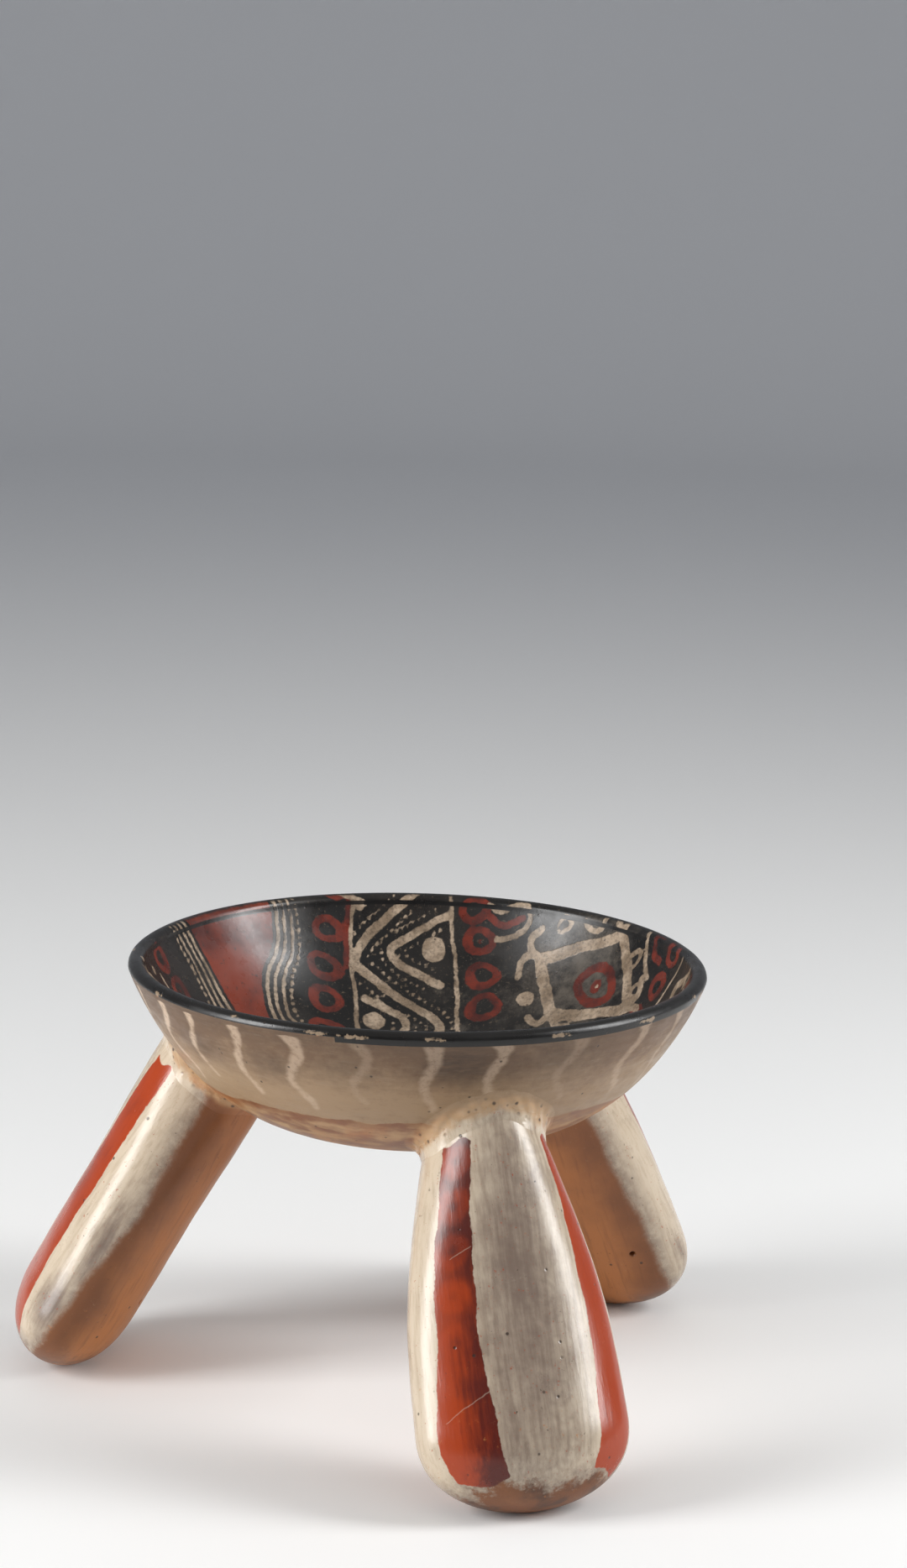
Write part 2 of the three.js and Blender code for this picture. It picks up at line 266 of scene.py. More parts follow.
# In mm: the spacing of a brush path's points, the clear ground round a dot, how far beside a stroke its
# distance is worked out, and what counts as unpainted
BRUSH_STEP = 2.0
DOT_GAP = 0.45
BESIDE_STROKE = 4
UNPAINTED = 9.0


def bend(points, step, closed=False):
    """A smooth brush path through a few points, with a point about every step in mm."""
    points = np.array(points, float)
    if closed:
        points = np.concatenate([points[-1:], points, points[:2]])
    else:
        points = np.concatenate([2 * points[:1] - points[1:2], points, 2 * points[-1:] - points[-2:-1]])
    path = []
    for a, b, c, d in zip(points, points[1:], points[2:], points[3:]):
        swing = 2 * a - 5 * b + 4 * c - d
        twist = 3 * b - a - 3 * c + d
        for t in np.arange(0, 1, 1 / max(1, round(np.hypot(*(c - b)) / step))):
            path.append(0.5 * (2 * b + (c - a) * t + swing * t**2 + twist * t**3))
    path.append(points[-2])
    return np.array(path)


def beside(path, offset):
    """The path moved sideways: to the left of its direction for a positive offset."""
    run = np.gradient(path, axis=0)
    run /= np.hypot(*run.T)[:, None] + 1e-9
    return path + offset * np.stack([-run[:, 1], run[:, 0]], 1)


def straight_path(points):
    """Straight strokes through the points."""
    points = np.array(points, float)
    path = []
    for start, end in zip(points, points[1:]):
        count = max(1, round(np.hypot(*(end - start)) / BRUSH_STEP))
        path += [start + (end - start) * n / count for n in range(count)]
    return np.array([*path, points[-1]])


class Slip:
    """One colour of slip on a surface.

    It keeps each vertex's distance in mm to its nearest stroke, below zero under it.
    """

    def __init__(self, at):
        self.at = at
        self.edge = np.full(len(at), UNPAINTED)
        self.taken = np.zeros((0, 3))

    def near(self, path, reach):
        """The vertices in the box round a path."""
        low, high = path.min(0) - reach, path.max(0) + reach
        return np.nonzero(((self.at > low) & (self.at < high)).all(1))[0]

    def to_path(self, where, path):
        """Distance in mm from some of the vertices to a path."""
        found = np.full(len(where), np.inf)
        at = self.at[where]
        for start, end in zip(path, path[1:]):
            run = end - start
            share = np.clip((at - start) @ run / max(run @ run, 1e-9), 0, 1)
            found = np.minimum(found, np.hypot(*(at - start - share[:, None] * run).T))
        return found

    def join(self, where, distance):
        """Adds a stroke to what is painted already."""
        self.edge[where] = np.minimum(self.edge[where], distance)

    def take(self, path, reach):
        """Notes the ground that a stroke takes up, so that dots keep off it."""
        self.taken = np.vstack([self.taken, np.column_stack([path, np.full(len(path), reach)])])

    def clear(self, centre, radius):
        """Whether a dot would stand clear of what is painted already."""
        gaps = np.hypot(*(self.taken[:, :2] - centre).T) - self.taken[:, 2] - radius
        return (gaps > DOT_GAP).all()

    def line(self, points, width, closed=False, straight=False):
        """Paints a stroke and returns its path."""
        path = straight_path(points) if straight else bend(points, BRUSH_STEP, closed)
        where = self.near(path, width + BESIDE_STROKE)
        self.join(where, self.to_path(where, path) - width / 2)
        self.take(path, width / 2)
        return path

    def dot(self, centre, radius):
        """Paints a round dot."""
        path = np.array([centre], float)
        where = self.near(path, radius + BESIDE_STROKE)
        off = self.at[where] - path
        self.join(where, np.hypot(*off.T) - radius)
        self.take(path, radius)

    def ring(self, centre, radius, width, wide=1.0):
        """Paints a ring freehand, a little uneven, and wider than it is tall by the square of wide."""
        path = np.array([centre], float)
        where = self.near(path, radius * 1.2 + width + BESIDE_STROKE)
        off = (self.at[where] - path) * (1 / wide, wide)
        swing = np.arctan2(off[:, 1], off[:, 0])
        lean = 0.35 * np.sin(2 * swing + centre[0]) + 0.25 * np.sin(3 * swing + centre[1])
        fuller = 0.25 * np.sin(swing + centre[0])
        self.join(where, np.abs(np.hypot(*off.T) - radius - lean) - width / 2 - fuller)
        self.take(path, radius + width / 2)

    def patch(self, points):
        """Fills a closed outline."""
        path = bend(points, 2.5, True)
        path = np.concatenate([path, path[:1]])
        where = self.near(path, 5)
        at = self.at[where]
        inside = np.zeros(len(where), bool)
        for start, end in zip(path, path[1:]):
            crosses = (start[1] > at[:, 1]) != (end[1] > at[:, 1])
            crossing = (at[:, 1] - start[1]) * (end[0] - start[0]) / (end[1] - start[1] + 1e-12) + start[0]
            inside ^= crosses & (at[:, 0] < crossing)
        distance = self.to_path(where, path)
        self.join(where, np.where(inside, -distance, distance))
        return path


# The painting inside the bowl, in mm on the wall laid flat: X to the right, Y to the back
BAND_LEFT = (
    (-29.5, 111), (-29, 104), (-27.5, 92), (-25, 79), (-22, 65), (-20, 52), (-17.5, 35), (-15, 20),
    (-12, 8), (-11, -5), (-10.5, -25), (-9, -45), (-7, -62), (-5, -85), (-2, -111),
)
BAND_RIGHT = (
    (11.7, 111), (12, 104), (12.7, 90), (13.3, 75), (13.7, 60), (14, 48), (15, 35), (18, 22), (20, 8),
    (21, -5), (24, -22), (27, -38), (30, -55), (34, -75), (38, -92), (43, -109),
)
SERPENT = (
    (0, 111), (-6, 106), (-15, 98), (-21.5, 90), (-24, 81.5), (-18.5, 77.5), (-10, 72), (-1, 67),
    (6.5, 61.5), (7, 56), (0, 47), (-7, 39), (-11, 30), (-12.5, 24), (-9, 20), (-1, 16), (5, 9), (7, 0),
    (5, -9), (2, -19), (-1, -29), (0, -37), (4, -46), (11, -54), (20, -62), (28, -69), (25, -79),
    (16, -88), (8, -97), (0, -110),
)
CHEVRONS = (
    ((12, 101), (4, 98.5), (-5, 93.5), (-11.5, 88.5), (-8, 84), (0, 80), (7.5, 76)),
    ((-19.5, 69), (-12, 66), (-6, 62.5), (-4.5, 58), (-8, 52), (-13, 47)),
    ((13, 43), (4, 37), (-0.5, 31), (1, 25), (7, 19.5), (14, 15.5)),
    ((-10.5, 9), (-4, 6), (-1, 2.5), (-3, -3), (-6, -9)),
    ((17, -15), (11, -23), (8.5, -29.5), (11, -36), (17, -42), (23, -46)),
    ((-2, -58), (6, -62), (11, -69), (10, -74)),
    ((0, -94), (8, -90), (16, -86), (27, -79)),
)
# Each blob's middle and radius
BLOBS = (
    ((5, 89.3), 4.6),
    ((-15.3, 60.2), 3.7),
    ((8, 30), 4.6),
    ((-9, 0.5), 2.4),
    ((19, -31), 5.2),
    ((4, -74), 5.6),
)
# Rings as X, Y and radius: the rows beside the serpent band, then the rows beside the arms
BAND_RINGS = (
    (-37.5, 104.5, 4.0), (-36.7, 90.0, 5.0), (-35.3, 76.5, 5.3), (-33, 64, 5.2), (-30.5, 51, 5.0),
    (-28, 37.5, 5.0), (-26.5, 25, 4.6), (-25, 11, 4.9), (-20.5, -5, 5.3), (-19.5, -21, 4.9),
    (-18.5, -37, 5.0), (-17, -52, 5.0), (-17, -67, 5.2), (-17, -82, 5.0), (-16, -97, 4.8),
    (21.5, 101.5, 4.9), (23, 90.5, 5.0), (23, 77.5, 5.0), (23, 65.5, 5.2), (23, 50, 4.6), (24, 38, 4.6),
    (24.5, 27, 4.6), (25, 14, 4.6), (27, 3, 4.6), (29, -10, 4.8), (33, -23, 5.0), (36, -37, 4.8),
    (38, -52, 4.9), (43, -68, 4.9), (49, -85, 4.9),
)
ARM_RINGS = (
    (-36.5, 19.5, 4.2), (-48.5, 18.5, 4.4), (-62, 19.5, 4.6), (-75.5, 18, 4.8), (-86.5, 19.5, 4.8),
    (-99, 20, 4.8), (-32, -18, 4.3), (-45, -20, 4.4), (-58, -22, 4.6), (-71, -22.5, 4.6),
    (-83, -25, 4.6), (-95, -29, 4.8), (36, 21, 4.3), (49.5, 20, 4.4), (62, 22, 4.6), (75.5, 25, 4.6),
    (89, 28, 4.6), (101, 32, 4.8), (39, -11, 4.3), (50, -12, 4.4), (63, -14, 4.6), (76, -11.5, 4.6),
    (89, -12, 4.6), (101, -9, 4.8),
)
ARM_LINES = (
    ((-34, 11), (-50, 10.5), (-67, 10), (-96, 11)),
    ((-30, -10), (-50, -11), (-70, -14), (-89, -16), (-106, -20)),
    ((37, 11), (54, 14), (69, 15), (90, 19), (104, 21)),
    ((37, -5), (54, -6), (70, -5), (90, -3), (105, -1)),
)
MEANDERS = (
    ((-31, 3), (-36, 0.5), (-41, 4.5), (-46, 2), (-50, -6), (-55, -1.5), (-58, 3.5), (-63, 1),
     (-68, -6.5), (-72.5, -4), (-76.5, 3), (-81.5, 1), (-86, -6.5), (-91, -4), (-94.5, 2), (-98.5, -3),
     (-101.5, -9), (-106, -7)),
    ((37, 1.5), (41, 5), (45, 1), (49, 3), (52, 8), (56, 5), (60, 1.5), (65, 8), (69, 7), (73, 2),
     (77, 8), (81, 11.5), (86, 8), (89, 3), (93, 8), (97, 11.5), (101, 6), (105, 3)),
)
ARM_DOTS = (
    (-100, 5.5), (-86, 5.5), (-68, 8), (-53, 8), (-36, 7), (-92, -13), (-75, -12), (-59, -10.5),
    (-33, -4.5), (36, 7.5), (43, 8.5), (57, 9.5), (72, 11), (52, -2.5), (84, 1), (101, 2), (68, -1),
    (-44, -7.5),
)
RED_FIELDS = (
    ((-70, 92), (-62, 86), (-57.5, 76), (-57.5, 67), (-57, 59), (-54.5, 51), (-50, 44.5), (-45, 41),
     (-45, 37.5), (-50, 35), (-57, 35), (-64, 38.5), (-71, 43), (-80, 48.5), (-90, 51.5), (-104, 55),
     (-112, 74), (-92, 100)),
    ((72, -92), (75.5, -77), (67, -61), (64, -50), (61, -42), (56, -36.5), (50, -31), (52, -27.5),
     (61, -26), (70, -30), (80, -37), (90, -41), (104, -44), (112, -70), (92, -100)),
)
# Each diamond's frame corners, hooks, core and middle
DIAMONDS = (
    (
        ((45.6, 77.5), (62, 73.5), (80.5, 66), (79, 50), (74, 34.5), (59, 46), (46, 54.5), (45.5, 66)),
        (
            ((46, 77.5), (42, 80.5), (37.5, 79), (36.5, 74.5)),
            ((46, 77.5), (42.5, 81.5), (43, 86), (48, 87.5)),
            ((81, 66), (87, 69), (92, 66)),
            ((80, 66), (82, 73), (87, 76)),
            ((74, 34.5), (78, 30), (76.5, 26)),
            ((74, 34.5), (81, 36), (84, 41)),
            ((46, 54.5), (40.5, 52), (38, 56)),
            ((46, 54.5), (47.5, 48), (51.5, 46)),
        ),
        ((58, 61), (67, 61.5), (72, 54), (69, 46.5), (60.5, 51)),
        (65, 54.8),
    ),
    (
        ((-77, -38.5), (-62, -44), (-48, -50), (-47, -62), (-48.5, -73), (-62, -69.5), (-76, -66),
         (-77.5, -52)),
        (
            ((-76, -38.5), (-80, -37), (-82, -43)),
            ((-76, -38.5), (-75, -33.5), (-67, -31)),
            ((-48, -50), (-44, -45), (-46, -40), (-49.5, -38)),
            ((-48, -50), (-40, -51), (-36.5, -54), (-38, -58)),
            ((-48.5, -73), (-41, -76), (-36.5, -73), (-38, -68)),
            ((-48.5, -73), (-46, -79), (-48, -84), (-52, -84.5)),
            ((-76, -66), (-84, -65)),
            ((-76, -66), (-76, -74), (-72, -79)),
        ),
        ((-71, -48), (-63, -49), (-55, -54), (-54, -65), (-62, -64), (-69.5, -61), (-71, -54)),
        (-62.5, -57),
    ),
)
LITTLE_RINGS = (
    (58, 85), (82.5, 52), (61, 34), (80, 38), (-50, -31), (-59, -36), (-29, -55), (-30, -70), (-61, -82),
    (-35, -82),
)
# Each bean's outline and core
BEANS = (
    (
        ((28, 102), (33, 99), (39, 100), (44, 97.5), (43, 91.5), (36, 89), (29.5, 90)),
        ((28, 98), (33, 94), (41, 94.5)),
    ),
    (
        ((50, 40), (44, 42), (36, 41), (31, 36), (33, 31), (38, 33), (42, 26), (48, 25), (50, 32),
         (49, 38)),
        ((37, 37), (43, 36), (45, 30)),
    ),
    (((86, 38), (87, 46), (90, 53), (96, 57), (101, 54)), ((93, 38), (92, 45), (96, 50), (99, 45))),
    (
        ((-43, -28), (-36, -28), (-33, -33), (-28, -36), (-27, -43), (-33, -46), (-40, -42), (-43, -35)),
        ((-37, -33), (-34, -39), (-31, -41)),
    ),
    (((-90, -37), (-85, -45), (-86, -54), (-91, -59)), ((-94, -40), (-90, -46), (-92, -54), (-97, -54))),
    (((-47, -97), (-44, -91), (-36, -89), (-28, -92), (-24, -98)), ((-42, -95), (-36, -94), (-30, -98))),
)


# Widths of the brush strokes inside the bowl, in mm
STROKE = {
    "band edge": 1.5,
    "red edge": 2.3,
    "cap": 2.4,
    "serpent": 3.3,
    "chevron": 2.8,
    "ring": 3.0,
    "arm line": 1.4,
    "meander": 3.7,
    "outermost line": 1.2,
    "diamond": 4.4,
    "hook": 2.8,
    "core": 3.6,
    "little ring": 1.7,
    "curl": 2.2,
    "bean": 2.1,
    "bean core": 2.7,
}
# Lines that follow a red field: distance from its edge and width, in mm, then its dots and its last line
FIELD_LINES = ((2.3, 1.5), (5.4, 1.3), (8.7, 1.3))
FIELD_DOTS = 11.6
FIELD_LAST_LINE = 14.6
DOT_SPACING = 2.6


def paint_bowl_inside(cream, red, field):
    """The painting: a serpent band, rows of rings, two meander arms, two diamonds and two red fields."""
    dot_rows = []
    for path in (BAND_LEFT, BAND_RIGHT):
        cream.line(path, STROKE["band edge"])
    red.line([(x - 1.8, y) for x, y in BAND_LEFT[:4]], STROKE["red edge"])
    cream.line(((-38, 104.5), (-31, 103.5), (-24, 102.5)), STROKE["cap"])
    cream.dot((-26, 101.5), 2.0)
    serpent = cream.line(SERPENT, STROKE["serpent"])
    dot_rows += [(beside(serpent, side)[4:-4], 0.68) for side in (-4.3, 4.3)]
    for points in CHEVRONS:
        path = cream.line(points, STROKE["chevron"])
        dot_rows += [(beside(path, side)[2:-2], 0.62) for side in (3.8, -3.8)]
    for centre, radius in BLOBS:
        cream.dot(centre, radius)
    for rings, wide in ((BAND_RINGS, 1.17), (ARM_RINGS, 0.9)):
        for x, y, radius in rings:
            red.ring((x, y), radius * 0.88, STROKE["ring"], wide)
            if int(x * 3 + y) % 3 == 0:
                red.dot((x, y), 0.8)
    for points in ARM_LINES:
        cream.line(points, STROKE["arm line"])
    for points in MEANDERS:
        cream.line(points, STROKE["meander"])
    for centre in ARM_DOTS:
        cream.dot(centre, 1.5)
    for points in RED_FIELDS:
        outline = field.patch(points)
        outwards = -1 if turns_left(outline) else 1
        for offset, width in FIELD_LINES:
            cream.line(beside(outline, outwards * offset)[1:-1:2], width)
        dot_rows.append((beside(outline, outwards * FIELD_DOTS), 0.8))
        cream.line(beside(outline, outwards * FIELD_LAST_LINE)[48:-2:2], STROKE["outermost line"])
    for frame_corners, hooks, core, middle in DIAMONDS:
        cream.line([*frame_corners, frame_corners[0]], STROKE["diamond"], straight=True)
        for points in hooks:
            cream.line(points, STROKE["hook"])
        red.line(core, STROKE["core"], closed=True)
        red.dot(middle, 2.5)
        cream.dot((middle[0] + 0.4, middle[1] - 0.3), 0.7)
    for centre in LITTLE_RINGS:
        cream.ring(centre, 2.8, STROKE["little ring"])
    for centre in ((38, 64.5), (-39, -63)):
        cream.dot(centre, 3.1)
    cream.line(((67, 82), (68, 77.5), (72.5, 75), (77, 77.5)), STROKE["curl"])
    for outline, core in BEANS:
        cream.line(outline, STROKE["bean"])
        red.line(core, STROKE["bean core"])
    for path, radius in dot_rows:
        dot_row(cream, red, path, radius)


def dot_row(cream, red, path, radius):
    """Dots along a path, left out where they would run into what is painted already."""
    along = np.concatenate([[0], np.cumsum(np.hypot(*np.diff(path, axis=0).T))])
    for n, stop in enumerate(np.arange(DOT_SPACING / 2, along[-1], DOT_SPACING)):
        centre = (np.interp(stop, along, path[:, 0]), np.interp(stop, along, path[:, 1]))
        if cream.clear(centre, radius) and red.clear(centre, radius):
            cream.dot(centre, radius * (1 + 0.18 * math.sin(2.7 * n + centre[0])))


def turns_left(path):
    """Whether a closed path runs anticlockwise."""
    ahead = np.roll(path, -1, 0)
    return (path[:, 0] * ahead[:, 1] - ahead[:, 0] * path[:, 1]).sum() > 0


# Wavy cream strokes down the outside of the bowl: degrees from +X, half width in mm, and how strongly
# each shows; the first ones are seen from the front, and the rest go on round the back
OUTER_STROKES = (
    (-163, 0.95, 1.0), (-151, 1.05, 1.0), (-141, 1.05, 0.9), (-128, 1.3, 0.75), (-115, 1.9, 0.6),
    (-101, 1.5, 0.25), (-87, 1.8, 0.5), (-74, 1.9, 0.55), (-58, 1.7, 0.22), (-41, 1.7, 0.45),
    (-27, 1.5, 0.45), (-13, 1.4, 0.6),
) + tuple((12.9 * n, 1.5 + 0.3 * math.sin(2.1 * n), 0.5 + 0.3 * math.sin(1.3 * n)) for n in range(15))
STROKE_LENGTH = 29.0

# Radius in mm at which the outside's strokes and soot are laid out, and the lip's chips
WALL_RADIUS = 88
CHIPS_RADIUS = 91

# Soot on the outside of the bowl: degrees from +X, distance down the wall and size in mm, and depth
SOOT = (
    (-81, 9, 13, 0.8), (-60, 4, 20, 0.5), (-70, 2, 26, 0.4), (-140, 14, 11, 0.4), (-120, 15, 10, 0.45),
    (-104, 12, 12, 0.35), (20, 8, 17, 0.5), (75, 12, 15, 0.6), (130, 5, 22, 0.5), (165, 14, 13, 0.4),
)

# Chips in the black of the lip: degrees from +X, half length, half height and place over the lip, in mm
LIP_CHIPS = (
    (-108.8, 3.0, 0.7, 0.6), (-101.6, 4.2, 0.7, 0.4), (-86, 3.2, 0.7, 0.9), (-61.8, 2.8, 0.7, 0.2),
    (-39.4, 4.5, 1.0, -0.6), (-150, 2.0, 0.8, 0.5), (-127, 1.2, 0.5, 1.6), (-20, 1.6, 0.6, 0.4),
    (18, 2.6, 0.8, 1.0), (49, 3.4, 0.7, 0.2), (83, 1.8, 0.8, 1.6), (121, 3.0, 0.9, 0.0),
    (160, 2.2, 0.6, 0.9), (178, 1.4, 0.7, 2.4),
)


def degrees_off(turn, degrees):
    """How far a direction in radians is from one in degrees, in radians, the short way round."""
    return (turn - math.radians(degrees) + math.pi) % (2 * math.pi) - math.pi


def paint_bowl_outside(turn, down, over_lip):
    """Strokes that run down from the rim, how strongly they show, soot, and chips of the lip, in mm."""
    edge, strength = np.full(len(turn), UNPAINTED), np.zeros(len(turn))
    for n, (middle, half_width, shows) in enumerate(OUTER_STROKES):
        reach = STROKE_LENGTH + 3 * math.sin(2.1 * n)
        swing = 2.3 + 0.7 * math.sin(1.7 * n)
        stops = np.linspace(-1, reach, 24)
        drift = swing * np.sin(2 * math.pi * stops / 24 + 0.5 * math.sin(n)) + 0.03 * stops
        off = degrees_off(turn, middle)
        where = np.nonzero((np.abs(off) < 0.13) & (down < reach + 5))[0]
        local = Slip(np.stack([off[where] * WALL_RADIUS, down[where]], 1))
        found = local.to_path(np.arange(len(where)), np.stack([drift, stops], 1))
        found = found - half_width * (1 - 0.01 * down[where]) - 1.1 * np.exp(-down[where] / 4)
        nearer = found < edge[where]
        edge[where] = np.where(nearer, found, edge[where])
        strength[where] = np.where(nearer, shows, strength[where])
    soot = 0.45 * np.exp(-((down / 7) ** 2))
    for middle, low, size, depth in SOOT:
        off = np.hypot(degrees_off(turn, middle) * WALL_RADIUS, (down - low) * 1.5) / size
        soot = np.maximum(soot, depth * np.exp(-(off**2)))
    chips = np.full(len(turn), UNPAINTED)
    for middle, half_length, half_height, place in LIP_CHIPS:
        sideways = degrees_off(turn, middle) * CHIPS_RADIUS / half_length
        off = np.hypot(sideways, (over_lip - place) / half_height)
        chips = np.minimum(chips, (off - 1) * half_height)
    return edge, strength, soot, chips


# Steps round the bowl's mesh, and mm between its rows: fine down the painted wall and coarser below it
BOWL_STEPS = 576
FINE_ROWS = 1.8
COARSE_ROWS = 3.4
INSIDE_ROWS = 1.0
PAINTED_WALL = 42
# Distance in mm over the lip, from its outside to the start of the inside wall
LIP_ARC = 8.2
# How far below the rim its hand-made unevenness fades out, in mm
SWAY_REACH = 26


def rim_sway(points, s):
    """The slight unevenness of a rim shaped by hand, fading down the wall; it only lowers and narrows."""
    turn = np.arctan2(points[:, 1], points[:, 0])
    height = np.clip((points[:, 2] - rim_height(s) + SWAY_REACH) / SWAY_REACH, 0, 1) ** 2
    lower = 0.32 * (1 + np.sin(2 * turn + 0.7)) / 2 + 0.13 * (1 + np.sin(5 * turn)) / 2
    narrow = 0.0022 * (1 + np.sin(3 * turn + 1.1)) + 0.0008 * (1 + np.sin(7 * turn))
    moved = points.copy()
    moved[:, 2] -= lower * height
    moved[:, :2] *= (1 - narrow * height)[:, None]
    return moved


def down_the_wall(s, level):
    """Distance in mm down the outer wall at a level below the rim plane."""
    _, depth, stops = wall_outline(s["bowl_radius"], s["bowl_depth"], FINE_ROWS)
    return np.interp(level, depth, stops)


# Where the black inside is rubbed grey, the first place at the right back also a painted sheen: X, Y and size
# in mm on the wall laid flat, and how much
RUBBED_AND_SHEEN_PLACES = (
    (60, 62, 32, 0.75), (12, 62, 22, 0.35), (-52, 78, 16, 0.3), (-25, -68, 34, 0.45),
    (-70, -20, 26, 0.35), (45, -55, 30, 0.4),
)


def make_bowl(s, slips):
    """The bowl: a spun wall, a rounded lip and an inside with a flat middle, and its painting."""
    inner_radius = s["bowl_radius"] - 2 * s["lip_radius"]
    inner_depth = s["bowl_depth"] - s["floor_thickness"]
    fine_radius, fine_depth, fine_stops = wall_outline(s["bowl_radius"], s["bowl_depth"], FINE_ROWS)
    coarse_radius, coarse_depth, _ = wall_outline(s["bowl_radius"], s["bowl_depth"], COARSE_ROWS)
    inside_radius, inside_depth, stops = wall_outline(
        inner_radius, inner_depth, INSIDE_ROWS, s["floor_disc_radius"]
    )
    upper = fine_stops < PAINTED_WALL
    lower = coarse_depth > fine_depth[upper][-1] + 0.8
    over = np.linspace(0, math.pi, 13)[1:-1]
    lip_radius = s["bowl_radius"] - s["lip_radius"] + s["lip_radius"] * np.cos(over)
    lip_depth = -(s["lip_radius"] - 0.14) * np.sin(over)
    outside = coarse_radius[lower][::-1], fine_radius[upper][::-1]
    radius = np.concatenate([*outside, lip_radius, inside_radius])
    depth = np.concatenate([coarse_depth[lower][::-1], fine_depth[upper][::-1], lip_depth, inside_depth])
    bm = spun([(r, 0, rim_height(s) - d) for r, d in zip(radius, depth)], BOWL_STEPS)
    move_to(bm, (rim_sway(places(bm), s) + [*AXIS_AT, 0]) * MM)
    bowl = finished(bm, "bowl_wall", weld=1e-7)

    points = mesh_places(bowl) / MM - [*AXIS_AT, 0]
    reach = np.hypot(points[:, 0], points[:, 1])
    turn = np.arctan2(points[:, 1], points[:, 0])
    level = rim_height(s) - points[:, 2]
    to_inner = np.abs(level - wall_depth(reach, inner_radius, inner_depth))
    to_outer = np.abs(level - wall_depth(reach, s["bowl_radius"], s["bowl_depth"]))
    is_inside = (reach < inner_radius - 0.3) & (to_inner < to_outer)
    along_floor = np.interp(reach, inside_radius[::-1], (stops[-1] - stops)[::-1])
    up_wall = stops[-1] - np.interp(level, inside_depth, stops)
    steep = np.clip((reach - 70) / 8, 0, 1)
    from_middle = along_floor * (1 - steep) + up_wall * steep
    on_lip = np.arctan2(-level, reach - s["bowl_radius"] + s["lip_radius"])
    inner_lip = (level < 0.3) & (on_lip > math.pi / 2)
    from_middle = np.where(inner_lip, stops[-1] + s["lip_radius"] * (math.pi - on_lip), from_middle)
    is_inside |= inner_lip
    flat = np.stack([from_middle * np.cos(turn), from_middle * np.sin(turn)], 1)
    flat = waver(waver(flat, 26, 0.45), 7, 0.16, 1.0)
    cream, red, field = Slip(flat), Slip(flat), Slip(flat)
    paint_bowl_inside(cream, red, field)
    # Rubbed grey patches; the one at the right back is partly a painted sheen
    rubbed = np.zeros(len(points))
    for x, y, size, depth in RUBBED_AND_SHEEN_PLACES:
        rubbed = np.maximum(rubbed, depth * np.exp(-(((flat - (x, y)) / size) ** 2).sum(1)))
    down = down_the_wall(s, level)
    off_lip = np.where(is_inside, LIP_ARC + level, -down)
    over_lip = np.where(level > 0.3, off_lip, s["lip_radius"] * on_lip)
    strokes, strength, soot, chips = paint_bowl_outside(turn, down, over_lip)
    keep(bowl, "cream_edge", np.where(is_inside, cream.edge, UNPAINTED))
    keep(bowl, "red_edge", np.where(is_inside, red.edge, UNPAINTED))
    keep(bowl, "field_edge", np.where(is_inside, field.edge, UNPAINTED))
    keep(bowl, "stroke_edge", np.where(is_inside | (level < 0.4), UNPAINTED, strokes))
    keep(bowl, "stroke_strength", strength)
    keep(bowl, "soot", soot)
    keep(bowl, "rubbed", rubbed)
    keep(bowl, "chip_edge", chips)
    keep(bowl, "down_wall", down)
    keep(bowl, "over_lip", over_lip)
    bowl.data.materials.append(black_polychrome(slips))
    bowl.data.materials.append(smudged_outer_slip(slips))
    middles = face_values(bowl, "center") / MM - [*AXIS_AT, 0]
    facing = face_values(bowl, "normal")
    outward = ((facing[:, :2] * middles[:, :2]).sum(1) > 0) | (facing[:, 2] < -0.2)
    is_outer = outward & (rim_height(s) - middles[:, 2] > 1.0)
    bowl.data.polygons.foreach_set("material_index", is_outer.astype(np.int32))
    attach(bowl, "vessel")
    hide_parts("bowl")


def face_values(piece, name):
    """Each face's middle or normal."""
    values = np.zeros(len(piece.data.polygons) * 3)
    piece.data.polygons.foreach_get(name, values)
    return values.reshape(-1, 3)


